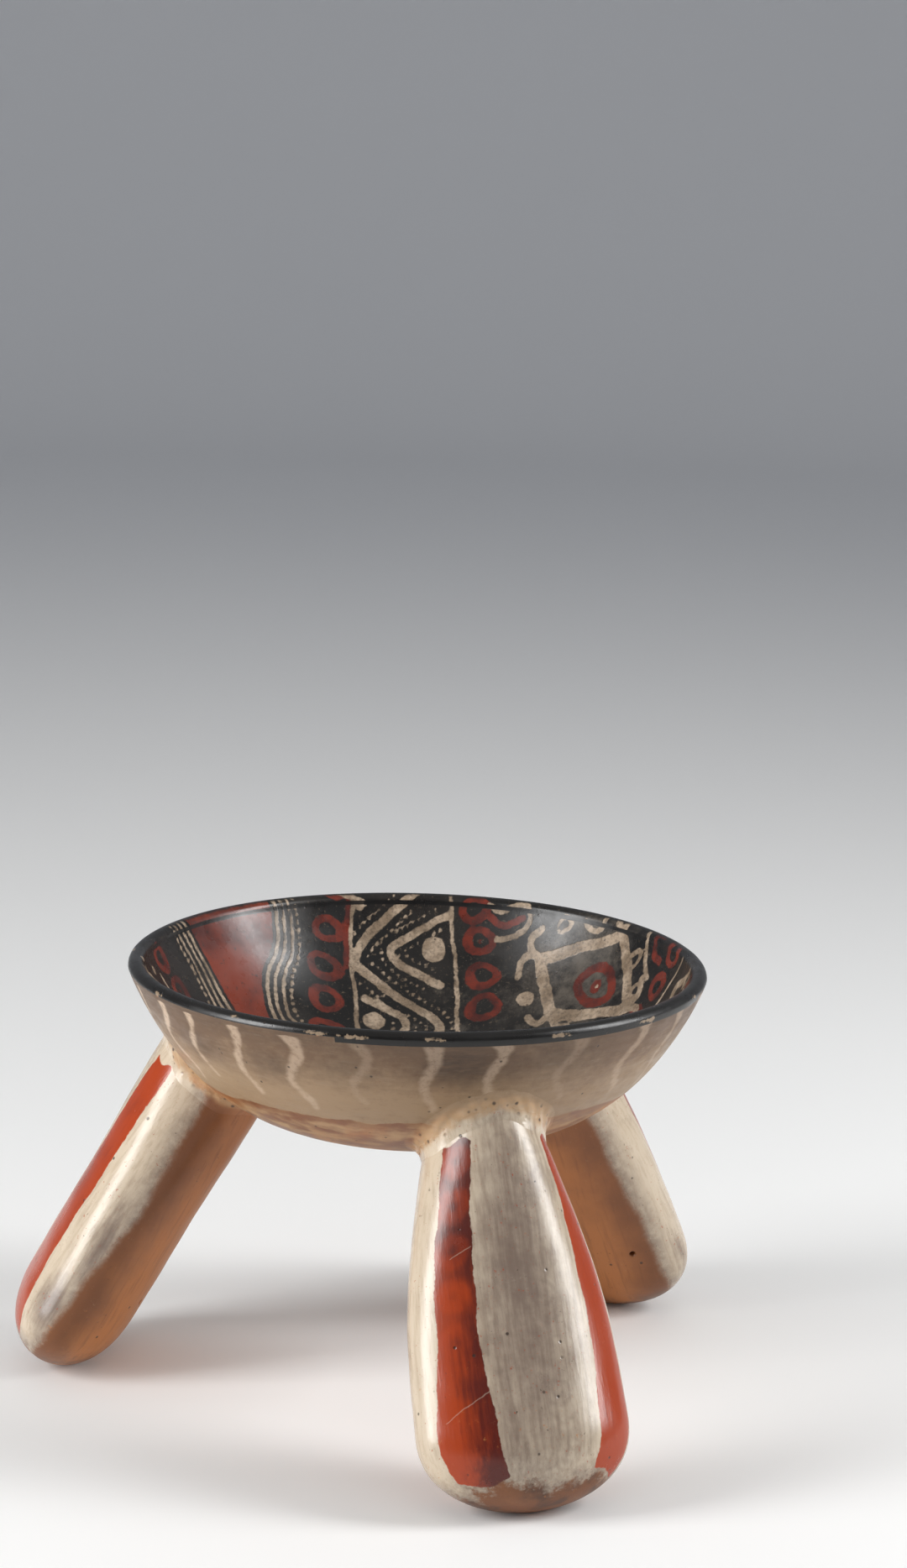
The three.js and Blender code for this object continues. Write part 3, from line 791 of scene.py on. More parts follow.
class Leg:
    """One leg's own measures: along it, around it and out of it."""

    def __init__(self, s, name):
        self.s = s
        self.azimuth = leg_azimuth(name)
        splay = s["leg_splay"]
        self.along = np.array([math.sin(splay), 0, -math.cos(splay)])
        self.across = np.array([0, 1.0, 0])
        self.out = np.array([math.cos(splay), 0, math.sin(splay)])
        seat = s["leg_seat_radius"]
        depth = wall_depth(np.array(seat), s["bowl_radius"], s["bowl_depth"])
        self.seat = np.array([seat, 0, rim_height(s) - depth])

    def size(self, distance, part):
        """Half of the width or the thickness, a smooth curve through three sizes."""
        t = np.clip(distance / self.s["bulb_distance"], 0, 1)
        neck, middle, bulb = (self.s[f"{place}_{part}"] for place in ("neck", "middle", "bulb"))
        return neck * (1 - t) * (1 - 2 * t) + 4 * middle * t * (1 - t) + bulb * t * (2 * t - 1)

    def point(self, distance, around, inset=0.0, share=None):
        """A point of the leg's skin.

        Around is the angle from the leg's outer face, towards its left seen from outside.
        """
        if share is None:
            reach = np.clip(distance - self.s["bulb_distance"], 0, None)
            reach = reach / (self.s["leg_length"] - inset - self.s["bulb_distance"])
            share = np.sqrt(np.clip(1 - reach**TOE_POWER, 0, 1))
        width = (self.size(distance, "width") - inset) * share * np.sin(around)
        thickness = (self.size(distance, "thickness") - inset) * share * np.cos(around)
        on_middle_line = self.seat + distance[:, None] * self.along
        return on_middle_line + width[:, None] * self.across + thickness[:, None] * self.out

    def unevenness(self, distance, around):
        """How far the skin that was shaped and rubbed by hand lies inside the even one, in mm."""
        facets = 0.11 * (1 + np.sin(7 * around + distance / 40 + 5 * self.azimuth))
        swells = 0.15 * (1 + np.sin(distance / 9 + 2 * around + 3 * self.azimuth))
        ripple = np.sin(distance / 4.3 - 5 * around + self.azimuth)
        dents = 0.07 * (1 + ripple * np.sin(distance / 6.1 + 3 * around))
        fade = np.clip((self.s["leg_length"] - 4 - distance) / 22, 0, 1)
        return 0.14 + (facets + swells + dents) * fade

    def underside(self, points):
        """The bowl's level at points, and how the level grows there.

        The level is 0 on the bowl's outer face and negative in its clay.
        """
        reach = np.hypot(points[:, 0], points[:, 1])
        share = reach / self.s["bowl_radius"]
        sunk = np.clip(rim_height(self.s) - points[:, 2], 1e-3, None) / self.s["bowl_depth"]
        level = share**SIDE_POWER + sunk**BASE_POWER - 1
        outward = SIDE_POWER * share ** (SIDE_POWER - 1) / self.s["bowl_radius"] / reach
        downward = BASE_POWER * sunk ** (BASE_POWER - 1) / self.s["bowl_depth"]
        return level, np.stack([outward * points[:, 0], outward * points[:, 1], -downward], 1)

    def on_underside(self, points, sink=0.0):
        """The nearest points of the bowl's underside, sunk into its clay."""
        for _ in range(8):
            level, growth = self.underside(points)
            points = points - (level / (growth**2).sum(1))[:, None] * growth
        _, growth = self.underside(points)
        return points - sink * growth / np.linalg.norm(growth, axis=1)[:, None]

    def joint(self, around, inset=0.0):
        """The distance at which lines down the leg leave the bowl's underside."""
        inside = np.full(len(around), -30.0)
        below = np.full(len(around), 60.0)
        for _ in range(30):
            middle = (inside + below) / 2
            in_bowl = self.underside(self.point(middle, around, inset))[0] < 0
            inside = np.where(in_bowl, middle, inside)
            below = np.where(in_bowl, below, middle)
        return below

    def stations(self, share_down, around, inset):
        """Distances and section shares from the joint to the toe, evenly spaced over the rounded end too."""
        start = self.joint(around, inset) + 0.15
        straight = self.s["bulb_distance"] - start
        toe = self.s["leg_length"] - inset - self.s["bulb_distance"]
        toe_arc = 1.5 * toe
        gone = share_down * (straight + toe_arc)
        turn = np.clip((gone - straight) / toe_arc, 0, 1) * math.pi / 2
        down_toe = self.s["bulb_distance"] + toe * np.sin(turn) ** (2 / TOE_POWER)
        reach = np.where(gone < straight, start + gone, down_toe)
        return reach, np.where(gone < straight, 1.0, np.cos(turn))

    def to_frame(self, points):
        """From the leg's own place in mm to the vessel's frame in metres."""
        c, n = math.cos(self.azimuth), math.sin(self.azimuth)
        x, y = points[:, 0], points[:, 1]
        turned = np.stack([x * c - y * n, x * n + y * c, points[:, 2]], 1)
        return (turned + [*AXIS_AT, 0]) * MM

    def own_place(self, points):
        """From the vessel's frame in metres to the leg's own place in mm."""
        points = points / MM - [*AXIS_AT, 0]
        c, n = math.cos(self.azimuth), math.sin(self.azimuth)
        x, y = points[:, 0], points[:, 1]
        return np.stack([x * c + y * n, y * c - x * n, points[:, 2]], 1)

    def skin_place(self, points):
        """Where own places lie on the leg.

        Distance along, angle around, millimetres of skin per radian, and share of the section.
        """
        off = points - self.seat
        distance = off @ self.along
        width, thickness = self.size(distance, "width"), self.size(distance, "thickness")
        x, z = off @ self.across / width, off @ self.out / thickness
        around = np.arctan2(x, z)
        return distance, around, np.hypot(width * np.cos(around), thickness * np.sin(around)), np.hypot(x, z)


# Each leg's bands and slip, in degrees round from its outer face at these distances down the leg in mm,
# how strongly its rings show, and its smoke smudges, the broad ones across the outer face partly painted
# shade: degrees, distance, spread of each, and depth
EDGE_STOPS = (0, 20, 40, 60, 85, 105)
LEG_PAINT = {
    "front": {
        "ringed": ((-60, -58, -57, -57, -61, -65), (-31, -30, -30, -29, -25, -23)),
        "plain": ((45, 44, 42, 39, 37, 36), (70, 70, 70, 70, 72, 70)),
        "slip": ((-112,) * 6, (106, 106, 106, 104, 98, 90)),
        "rings": 0.3,
        "smudges_and_shade": (
            (-2, 52, 34, 70, 0.95), (-14, 92, 22, 22, 0.8), (22, 14, 30, 10, 0.5), (-95, 60, 9, 50, 0.5),
        ),
    },
    "right": {
        "ringed": ((-60, -62, -62, -63, -62, -60), (-33, -32, -31, -31, -31, -32)),
        "plain": ((30, 29, 28, 28, 27, 27), (56, 58, 60, 60, 58, 56)),
        "slip": ((-116, -117, -118, -118, -114, -105), (101,) * 6),
        "rings": 0.05,
        "smudges_and_shade": ((-2, 55, 24, 50, 0.55), (84, 60, 10, 45, 0.5), (-88, 90, 16, 14, 0.6)),
    },
    "left": {
        "ringed": ((-52, -53, -55, -57, -59, -62), (-24, -24, -25, -25, -26, -28)),
        "plain": ((32, 21, 16, 13, 10, 8), (56, 53, 50, 47, 47, 54)),
        "slip": ((-108,) * 6, (97, 102, 104, 98, 89, 80)),
        "rings": 0.7,
        "smudges_and_shade": (
            (88, 62, 12, 26, 0.9), (78, 86, 20, 14, 1.0), (-4, 50, 18, 55, 0.5), (-82, 50, 12, 45, 0.5),
        ),
    },
}
# Hairline cracks in the front leg's ringed band, from and to: degrees round and distance down in mm
CRACKS = (((-56, 87), (-25, 79)), ((-46, 39), (-30, 35.6)))
# Where each vent is, in degrees round from the leg's outer face
VENT_TURNS = {"front": -172, "right": -132, "left": 166}
# The painted rings near a leg's neck, in mm down the leg and across
LEG_RINGS = 5
FIRST_LEG_RING = 9.5
LEG_RING_SPACING = 13.5
LEG_RING_RADIUS = 3.3
LEG_RING_HALF_STROKE = 1.9
# Steps round a leg's mesh, and rows down its skin and its chamber
LEG_STEPS = 192
OUTER_ROWS = 128
INNER_ROWS = 34


def paint_leg(name, distance, around, girth):
    """Distances in mm to the edges of the leg's slips, rings, figures and cracks, and its smudges, partly
    painted shade.
    """
    paint = LEG_PAINT[name]
    degrees = np.degrees(around)
    per_degree = girth * math.pi / 180
    sway = 0.5 * np.sin(distance / 7.3 + len(name)) + 0.3 * np.sin(distance / 2.9 + around)

    def limits(part):
        return [np.interp(distance, EDGE_STOPS, side) for side in paint[part]]

    def band(part):
        low, high = limits(part)
        side = (np.abs(degrees - (low + high) / 2) - (high - low) / 2) * per_degree + sway * 0.6
        ends = np.maximum(distance - 105 - 1.2 * np.sin(degrees / 9), 3.5 - distance + np.sin(degrees / 5))
        return np.maximum(side, ends)

    ringed, plain = band("ringed"), band("plain")
    low, high = limits("slip")
    side = np.maximum(low - degrees, degrees - high) * per_degree
    toe = distance - 107 - 1.6 * np.sin(degrees / 13 + 1) - 0.9 * np.sin(degrees / 4.1)
    band_low, band_high = limits("ringed")
    off = (degrees - (band_low + band_high) / 2) * per_degree
    rings = np.full(len(distance), UNPAINTED)
    for n in range(LEG_RINGS):
        from_centre = np.hypot(off, distance - FIRST_LEG_RING - LEG_RING_SPACING * n)
        rings = np.minimum(rings, np.abs(from_centre - LEG_RING_RADIUS) - LEG_RING_HALF_STROKE)
    # Smudges; the broad ones across the outer face also paint the shade there
    smudge = np.zeros(len(distance))
    for turn, down, wide, long, depth in paint["smudges_and_shade"]:
        spread = ((degrees - turn) / wide) ** 2 + ((distance - down) / long) ** 2
        smudge = np.maximum(smudge, depth * np.exp(-spread))
    crack, crack_run = np.full(len(distance), UNPAINTED), np.zeros(len(distance))
    if name == "front":
        for start, end in CRACKS:
            scale = np.array([0.5, 1.0])
            run = (np.array(end) - start) * scale
            place = (np.stack([degrees, distance], 1) - start) * scale
            across = (place[:, 0] * run[1] - place[:, 1] * run[0]) / np.hypot(*run)
            near = np.abs(distance - start[1]) < 22
            crack = np.where(near, across, crack)
            crack_run = np.where(near, place @ run / (run @ run), crack_run)
    # Darker red on the band's inner half and towards the neck: partly the slip's own maroon, partly painted
    # shade
    maroon_and_shade = 0.5 + 0.5 * np.tanh(off / 6) + 0.5 * np.clip((50 - distance) / 40, 0, 1)
    return {
        "red_edge": np.minimum(ringed, plain),
        "ring_zone": np.where(ringed < plain, paint["rings"] * np.clip((72 - distance) / 26, 0, 1), 0),
        "ring_edge": rings,
        "maroon_and_shade": np.where(ringed < plain, maroon_and_shade, 0.1),
        "slip_edge": np.maximum(side + sway, toe),
        "figure_edge": paint_leg_figures(limits, distance, degrees, per_degree),
        "smudge": smudge,
        "crack_side": crack,
        "crack_run": crack_run,
        "along_leg": distance,
        "around_leg": degrees,
    }


def paint_leg_figures(limits, distance, degrees, per_degree):
    """The faint resist figures of the middle panel: double side lines, and a chain of scrolls and zigzags."""
    left = (degrees - limits("ringed")[1]) * per_degree
    right = (limits("plain")[0] - degrees) * per_degree
    lines = np.minimum(np.abs(left - 2.0), np.abs(left - 4.2))
    lines = np.minimum(lines, np.minimum(np.abs(right - 2.0), np.abs(right - 4.2))) - 0.45
    local = Slip(np.stack([(left - right) / 2, distance], 1))
    for n in range(7):
        top = 6 + 15 * n
        turn = np.linspace(0.6, 3.3 * math.pi, 26)
        size = 0.9 + 0.42 * turn
        hand = 1 if n % 2 else -1
        scroll = np.stack([hand * (3.2 + size * np.cos(turn)), top + size * np.sin(turn)], 1)
        local.line(scroll, 1.1, straight=True)
        local.ring((-hand * 6.0, top + 1), 2.1, 1.0)
        zigzag = [(x * hand, top + y) for x, y in ((-9, 6), (-5, 10), (-1, 6), (3, 10), (8, 7))]
        local.line(zigzag, 1.0, straight=True)
    inside = (left > 0.6) & (right > 0.6) & (distance < 99)
    return np.where(inside, np.minimum(lines, local.edge), UNPAINTED)


def keep_paint(piece, leg, name, s):
    """Stores the leg's painting on a leg or a collar, and how far each vertex lies down the bowl's wall."""
    own = leg.own_place(mesh_places(piece))
    distance, around, girth, section = leg.skin_place(own)
    for field, values in paint_leg(name, distance, around, girth).items():
        keep(piece, field, values)
    keep(piece, "down_wall", down_the_wall(s, rim_height(s) - own[:, 2]))
    level, growth = leg.underside(own)
    below_bowl = np.clip(level / np.linalg.norm(growth, axis=1), 0, None)
    off_leg = np.clip(section - 1, 0, None) * girth
    keep(piece, "fillet_share", below_bowl / (below_bowl + off_leg + 0.05))
    made = piece.data.attributes.new("leg_place", "FLOAT_VECTOR", "POINT")
    off = (own - leg.seat) * MM
    made.data.foreach_set("vector", np.stack([off @ leg.across, off @ leg.out, off @ leg.along], 1).ravel())


def make_leg(s, name, material):
    """A hollow leg: skin and chamber in one shell, with a neck that follows the bowl's underside."""
    leg = Leg(s, name)
    chamber_rows, neck_rows = np.linspace(0, 1, INNER_ROWS), np.linspace(1, 2, 5)[1:]
    rows = np.concatenate([chamber_rows, neck_rows, np.linspace(2, 3, OUTER_ROWS)[1:]])
    bm = spun([(1, 0, row) for row in rows], LEG_STEPS)
    unit = places(bm)
    around = np.arctan2(unit[:, 1], unit[:, 0])
    row = unit[:, 2]
    inner = leg.stations(np.clip(1 - row, 0, 1), around, s["leg_wall"])
    outer = leg.stations(np.clip(row - 2, 0, 1), around, 0.14)
    chamber = leg.point(inner[0], around, s["leg_wall"], inner[1])
    skin = leg.point(outer[0], around, leg.unevenness(outer[0], around), outer[1])
    share = np.clip(row - 1, 0, 1)[:, None]
    points = chamber * (1 - share) + skin * share
    points[:, 2] = np.clip(points[:, 2], 0, None)
    move_to(bm, leg.to_frame(points))
    piece = finished(bm, f"rattle_leg_{name}", weld=2e-6)
    pierce_vent(piece, leg, math.radians(VENT_TURNS[name]))
    keep_paint(piece, leg, name, s)
    piece.data.materials.append(material)
    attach(piece, "vessel")
    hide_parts(f"leg_{name}")


def pierce_vent(piece, leg, around):
    """Cuts the small firing vent square through the wall."""
    s = leg.s
    turn = np.array([around])
    at = leg.point(np.array([s["vent_distance"]]), turn, s["leg_wall"] / 2)
    inner = leg.point(np.array([s["vent_distance"]]), turn, s["leg_wall"])
    ends = leg.to_frame(np.concatenate([at, inner]))
    middle, direction = Vector(ends[0]), Vector(ends[1] - ends[0]).normalized()
    drill = bmesh.new()
    radius = s["vent_radius"] * MM
    bmesh.ops.create_cone(
        drill, cap_ends=True, segments=28, radius1=radius, radius2=radius, depth=3 * s["leg_wall"] * MM
    )
    bmesh.ops.rotate(drill, verts=drill.verts, matrix=direction.to_track_quat("Z", "Y").to_matrix())
    bmesh.ops.translate(drill, verts=drill.verts, vec=middle)
    cutter = finished(drill, "vent_drill")
    cut = piece.modifiers.new("Vent", "BOOLEAN")
    cut.object = cutter
    cut.operation = "DIFFERENCE"
    cut.solver = "EXACT"
    graph = bpy.context.evaluated_depsgraph_get()
    pierced = bpy.data.meshes.new_from_object(piece.evaluated_get(graph))
    piece.modifiers.clear()
    piece.data = pierced
    bpy.data.objects.remove(cutter)


# Steps round a collar's mesh, rows round its section, and the share of those rows on its visible face
COLLAR_STEPS = 240
COLLAR_ROWS = 30
FACE_SHARE = 0.7


def make_collar(s, name, material):
    """The luting clay: a fillet smeared by hand between neck and bowl, with its back hidden in them."""
    leg = Leg(s, name)
    turn = np.linspace(0, 2 * math.pi, COLLAR_ROWS + 1)[:-1]
    bm = spun([(3 + math.cos(t), 0, math.sin(t)) for t in turn], COLLAR_STEPS, closed=True)
    unit = places(bm)
    around = np.arctan2(unit[:, 1], unit[:, 0])
    section = np.arctan2(unit[:, 2], np.hypot(unit[:, 0], unit[:, 1]) - 3) / (2 * math.pi) % 1
    start = leg.joint(around)
    joint = leg.point(start, around)
    outward = joint - leg.point(start, around, 0.0, np.zeros(len(start)))
    growth = leg.underside(joint)[1]
    growth /= np.linalg.norm(growth, axis=1)[:, None]
    tangent = outward - (outward * growth).sum(1)[:, None] * growth
    tangent /= np.linalg.norm(tangent, axis=1)[:, None]
    uneven = 1 + 0.13 * np.sin(3 * around + leg.azimuth) + 0.08 * np.sin(7 * around + 2 * leg.azimuth)
    up_bowl = joint + tangent * (s["fillet_on_bowl"] * (2 - uneven))[:, None]
    down_leg = start + s["fillet_on_leg"] * uneven
    on_bowl = leg.on_underside(up_bowl, 0.15)
    on_leg = leg.point(down_leg, around, leg.unevenness(down_leg, around) + 0.3)
    hollow = joint * 0.9 + (on_bowl + on_leg) * 0.05
    front = np.clip(section / FACE_SHARE, 0, 1)[:, None]
    face = (1 - front) ** 2 * on_bowl + 2 * front * (1 - front) * hollow + front**2 * on_leg
    ridges = 0.10 * np.sin(11 * around + 16 * front[:, 0]) + 0.08 * np.sin(23 * around - 9 * front[:, 0])
    face += (growth + outward / 20) * (ridges * np.sin(front[:, 0] * math.pi) ** 2)[:, None]
    in_leg = leg.point(start + 3, around, 2.4)
    in_bowl = leg.on_underside(joint + tangent, 1.9)
    back = np.clip((section - FACE_SHARE) / (1 - FACE_SHARE), 0, 1)[:, None] * 3
    hidden = np.where(back < 1, on_leg + (in_leg - on_leg) * back, in_leg + (in_bowl - in_leg) * (back - 1))
    hidden = np.where(back < 2, hidden, in_bowl + (on_bowl - in_bowl) * (back - 2))
    move_to(bm, leg.to_frame(np.where(section[:, None] <= FACE_SHARE, face, hidden)))
    piece = finished(bm, f"luting_collar_{name}", weld=1e-7)
    keep_paint(piece, leg, name, s)
    piece.data.materials.append(material)
    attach(piece, "vessel")
    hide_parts(f"collar_{name}")


def make_pellet(node, material, seed):
    """A loose clay pellet, rolled by hand and a little uneven."""
    low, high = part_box(node)
    middle, radius = (low + high) / 2, min(high - low) / 2
    bm = bmesh.new()
    bmesh.ops.create_icosphere(bm, subdivisions=4, radius=1.0)
    for corner in bm.verts:
        x, y, z = corner.co
        dent = 0.03 * math.sin(4.1 * x + seed) + 0.025 * math.sin(5.3 * y - 2 * seed)
        dent += 0.02 * math.sin(6.7 * z + 3 * seed)
        grit = 0.006 * math.sin(23 * x + 17 * y + seed) * math.sin(19 * z - 13 * x)
        corner.co = corner.co * radius * (0.93 + 0.7 * dent + grit) + middle
    piece = finished(bm, node.replace("pellet", "clay_ball"))
    piece.data.materials.append(material)
    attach(piece, node)
    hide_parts(node)


def add_node(material, kind, inputs=None, **settings):
    """Adds a shader node, with its settings, and its inputs filled by constants or links."""
    tree = material.node_tree
    node = tree.nodes.new("ShaderNode" + kind)
    for name, value in settings.items():
        setattr(node, name, value)
    for name, value in (inputs or {}).items():
        if isinstance(value, bpy.types.NodeSocket):
            tree.links.new(value, node.inputs[name])
        else:
            node.inputs[name].default_value = value
    return node


def new_material(name):
    """An empty node material."""
    material = bpy.data.materials.new(name)
    material.use_nodes = True
    material.node_tree.nodes.clear()
    return material


def field(material, name):
    """A number kept on the piece's vertices."""
    return add_node(material, "Attribute", attribute_name=name).outputs["Fac"]


def maths(material, operation, first, second=0.0):
    """One sum on two numbers, either of which may come from another node."""
    return add_node(material, "Math", {0: first, 1: second}, operation=operation).outputs[0]


def ramp(material, value, low, high, low_out=0.0, high_out=1.0, soft=True):
    """Maps a number from one range to another, clamped."""
    settings = {"interpolation_type": "SMOOTHSTEP" if soft else "LINEAR", "clamp": True}
    inputs = {"Value": value, "From Min": low, "From Max": high, "To Min": low_out, "To Max": high_out}
    return add_node(material, "MapRange", inputs, **settings).outputs["Result"]


def cloud(material, grain, detail=4.0, roughness=0.55, stretch=(1, 1, 1), place=None):
    """Noise with blobs about grain millimetres across, on object coordinates or on a given place."""
    place = place or add_node(material, "TexCoord").outputs["Object"]
    if stretch != (1, 1, 1):
        place = add_node(material, "Mapping", {"Vector": place, "Scale": stretch}).outputs["Vector"]
    inputs = {"Vector": place, "Scale": 1 / (grain * MM), "Detail": detail, "Roughness": roughness}
    return add_node(material, "TexNoise", inputs).outputs["Fac"]


def shaken(material, edge, noise, reach):
    """Moves an edge by noise, most of it within plus or minus a quarter of the reach in mm."""
    shift = maths(material, "MULTIPLY", maths(material, "SUBTRACT", noise, 0.5), reach)
    return maths(material, "ADD", edge, shift)


def product(material, first, *others):
    """All the numbers multiplied."""
    for other in others:
        first = maths(material, "MULTIPLY", first, other)
    return first


def blend(material, share, first, second):
    """The first colour, with a share of the second over it."""
    node = add_node(material, "Mix", {"Factor": share}, data_type="RGBA")
    for socket, value in ((node.inputs[6], first), (node.inputs[7], second)):
        if isinstance(value, bpy.types.NodeSocket):
            material.node_tree.links.new(value, socket)
        else:
            socket.default_value = value
    return node.outputs[2]


def pits(material, spacing, size, share):
    """Small pits, 1 in a pit and 0 outside, in about a share of the cells; spacing and size in mm."""
    place = add_node(material, "TexCoord").outputs["Object"]
    inputs = {"Vector": place, "Scale": 1 / (spacing * MM), "Randomness": 1.0}
    cells = add_node(material, "TexVoronoi", inputs)
    near = ramp(material, cells.outputs["Distance"], size / spacing, 0.4 * size / spacing)
    picked = add_node(material, "SeparateColor", {"Color": cells.outputs["Color"]}).outputs[0]
    return product(material, near, ramp(material, picked, share, share * 0.9))


def burnished(material, base, roughness, height, strength, depth):
    """Ends a material in a clay surface with a bump."""
    bump = add_node(material, "Bump", {"Height": height, "Strength": strength, "Distance": depth * MM})
    inputs = {"Base Color": base, "Roughness": roughness, "Normal": bump.outputs["Normal"]}
    shader = add_node(material, "BsdfPrincipled", inputs)
    add_node(material, "OutputMaterial", {"Surface": shader.outputs["BSDF"]})
    return material


def black_polychrome(slips):
    """Polished earthenware with a smudged black ground and brushed cream and iron-red slip.

    The eye sees a deep brown-black with grey scuffs, the largest at the right back partly a painted sheen,
    strokes whose cream lets the ground through where it is thin, duller red rings, and one broad soft gleam
    over all of them, because the whole inside was rubbed after painting.
    """
    m = new_material("burnished_black_polychrome_slip")
    broad, middling, fine = cloud(m, 26), cloud(m, 7), cloud(m, 1.3, 5.0, 0.7)
    ground = blend(m, ramp(m, broad, 0.42, 0.72), slips["black_slip"], slips["scuffed_black"])
    ground = blend(m, ramp(m, fine, 0.57, 0.74, 0, 0.5), ground, slips["worn_cream"])
    # Rubbed grey patches; the one at the right back is partly a painted sheen
    rubbed = shaken(m, shaken(m, field(m, "rubbed"), middling, 1.2), cloud(m, 3, 5.0, 0.75), 1.2)
    ground = blend(m, ramp(m, rubbed, 0.25, 1.0, 0.0, 0.75), ground, slips["rubbed_black"])
    wear = cloud(m, 1.6, 3.0)
    worn_through = ramp(m, fine, 0.75, 0.5, 0.55, 1.0)
    rings = ramp(m, shaken(m, field(m, "red_edge"), wear, 1.2), 0.28, -0.28)
    ring_red = blend(m, ramp(m, middling, 0.32, 0.66), slips["dark_red"], slips["ring_red"])
    ring_red = blend(m, ramp(m, fine, 0.52, 0.75, 0, 0.6), ring_red, slips["black_slip"])
    top = blend(m, product(m, rings, worn_through), ground, ring_red)
    fields = ramp(m, shaken(m, field(m, "field_edge"), wear, 1.2), 0.28, -0.28)
    field_red = blend(m, ramp(m, broad, 0.35, 0.62), slips["dark_red"], slips["red_slip"])
    scuffed = product(m, ramp(m, cloud(m, 2.2, 6.0, 0.75), 0.54, 0.66), ramp(m, cloud(m, 14), 0.42, 0.6))
    field_red = blend(m, product(m, scuffed, 0.75), field_red, slips["scuffed_black"])
    top = blend(m, fields, top, field_red)
    strokes = ramp(m, shaken(m, field(m, "cream_edge"), wear, 1.1), 0.25, -0.25)
    cream = blend(m, ramp(m, middling, 0.36, 0.64), slips["worn_cream"], slips["cream_slip"])
    top = blend(m, product(m, strokes, ramp(m, fine, 0.72, 0.42, 0.35, 1.0)), top, cream)
    black_lip = ramp(m, shaken(m, field(m, "over_lip"), wear, 2.0), 6.6, 5.0, 0.0, 0.95)
    top = blend(m, black_lip, top, slips["black_slip"])
    top = blend(m, ramp(m, shaken(m, field(m, "chip_edge"), wear, 2.6), 0.15, -0.3), top, slips["worn_cream"])
    specks = pits(m, 3.1, 0.5, 0.3)
    top = blend(m, product(m, specks, 0.7), top, slips["soot"])
    roughness = ramp(m, cloud(m, 11, 5.0), 0.3, 0.7, 0.22, 0.38)
    height = maths(m, "SUBTRACT", maths(m, "ADD", fine, product(m, strokes, 0.5)), specks)
    return burnished(m, top, roughness, height, 0.3, 0.12)


def outer_slip_layers(m, slips):
    """Colour, roughness and height of the bowl's outside, down to its bare clay."""
    down = field(m, "down_wall")
    broad, middling, fine = cloud(m, 30), cloud(m, 9, stretch=(1, 1, 2.6)), cloud(m, 1.6, 5.0, 0.7)
    brushed, mottled = cloud(m, 10, 4.0, 0.6, stretch=(1, 1, 8)), cloud(m, 3.5, 5.0, 0.7)
    shade = shaken(m, shaken(m, ramp(m, down, 5, 30, 0.1, 0.95), broad, 1.0), brushed, 0.7)
    shade = shaken(m, shade, mottled, 0.9)
    top = blend(m, ramp(m, shade, 0.1, 0.9, soft=False), slips["outer_smudge"], slips["outer_cream"])
    top = blend(m, ramp(m, brushed, 0.56, 0.72, 0, 0.45), top, slips["worn_cream"])
    sooty = product(m, field(m, "soot"), ramp(m, shaken(m, brushed, middling, 1.0), 0.25, 0.6, 0.55, 1.0))
    top = blend(m, sooty, top, slips["soot"])
    stroke = ramp(m, shaken(m, field(m, "stroke_edge"), middling, 3.0), 1.0, -1.0)
    stroke = product(m, stroke, field(m, "stroke_strength"), ramp(m, fine, 0.7, 0.45, 0.5, 1.0))
    top = blend(m, stroke, top, slips["stroke_cream"])
    edge = shaken(m, shaken(m, maths(m, "SUBTRACT", 37.5, down), broad, 10), middling, 3.0)
    clay = blend(m, ramp(m, middling, 0.35, 0.7), slips["shaded_clay"], slips["luting_clay"])
    clay = blend(m, ramp(m, broad, 0.46, 0.66, 0, 0.8), clay, slips["bare_clay"])
    top = blend(m, ramp(m, edge, 0.5, -0.5), top, clay)
    at_edge = product(m, ramp(m, edge, -4.5, -0.4), ramp(m, edge, 0.3, -0.4), 0.55)
    top = blend(m, at_edge, top, slips["shaded_clay"])
    top = blend(m, ramp(m, fine, 0.58, 0.8, 0, 0.4), top, slips["shaded_clay"])
    specks = pits(m, 4.2, 0.6, 0.3)
    top = blend(m, product(m, specks, 0.8), top, slips["soot"])
    height = maths(m, "SUBTRACT", maths(m, "ADD", fine, brushed), product(m, specks, 2.0))
    return top, ramp(m, middling, 0.3, 0.7, 0.34, 0.5), height


def smudged_outer_slip(slips):
    """Cream slip on earthenware, smoke-smudged grey-brown below the rim, wiped off to bare clay underneath.

    The eye sees horizontal rubbing, pale wavy strokes that the smoke spared, a black lip with a few chips,
    a firm uneven edge where the slip ends, and a low sheen.
    """
    m = new_material("smoke_smudged_outer_slip")
    top, roughness, height = outer_slip_layers(m, slips)
    wear = cloud(m, 1.6, 3.0)
    black = ramp(m, shaken(m, field(m, "over_lip"), wear, 1.6), -0.2, 1.4, 0.0, 0.95)
    top = blend(m, black, top, slips["black_slip"])
    chip = blend(m, ramp(m, wear, 0.4, 0.6), slips["bare_clay"], slips["outer_cream"])
    top = blend(m, ramp(m, shaken(m, field(m, "chip_edge"), wear, 2.6), 0.15, -0.3), top, chip)
    return burnished(m, top, maths(m, "SUBTRACT", roughness, product(m, black, 0.1)), height, 0.3, 0.14)


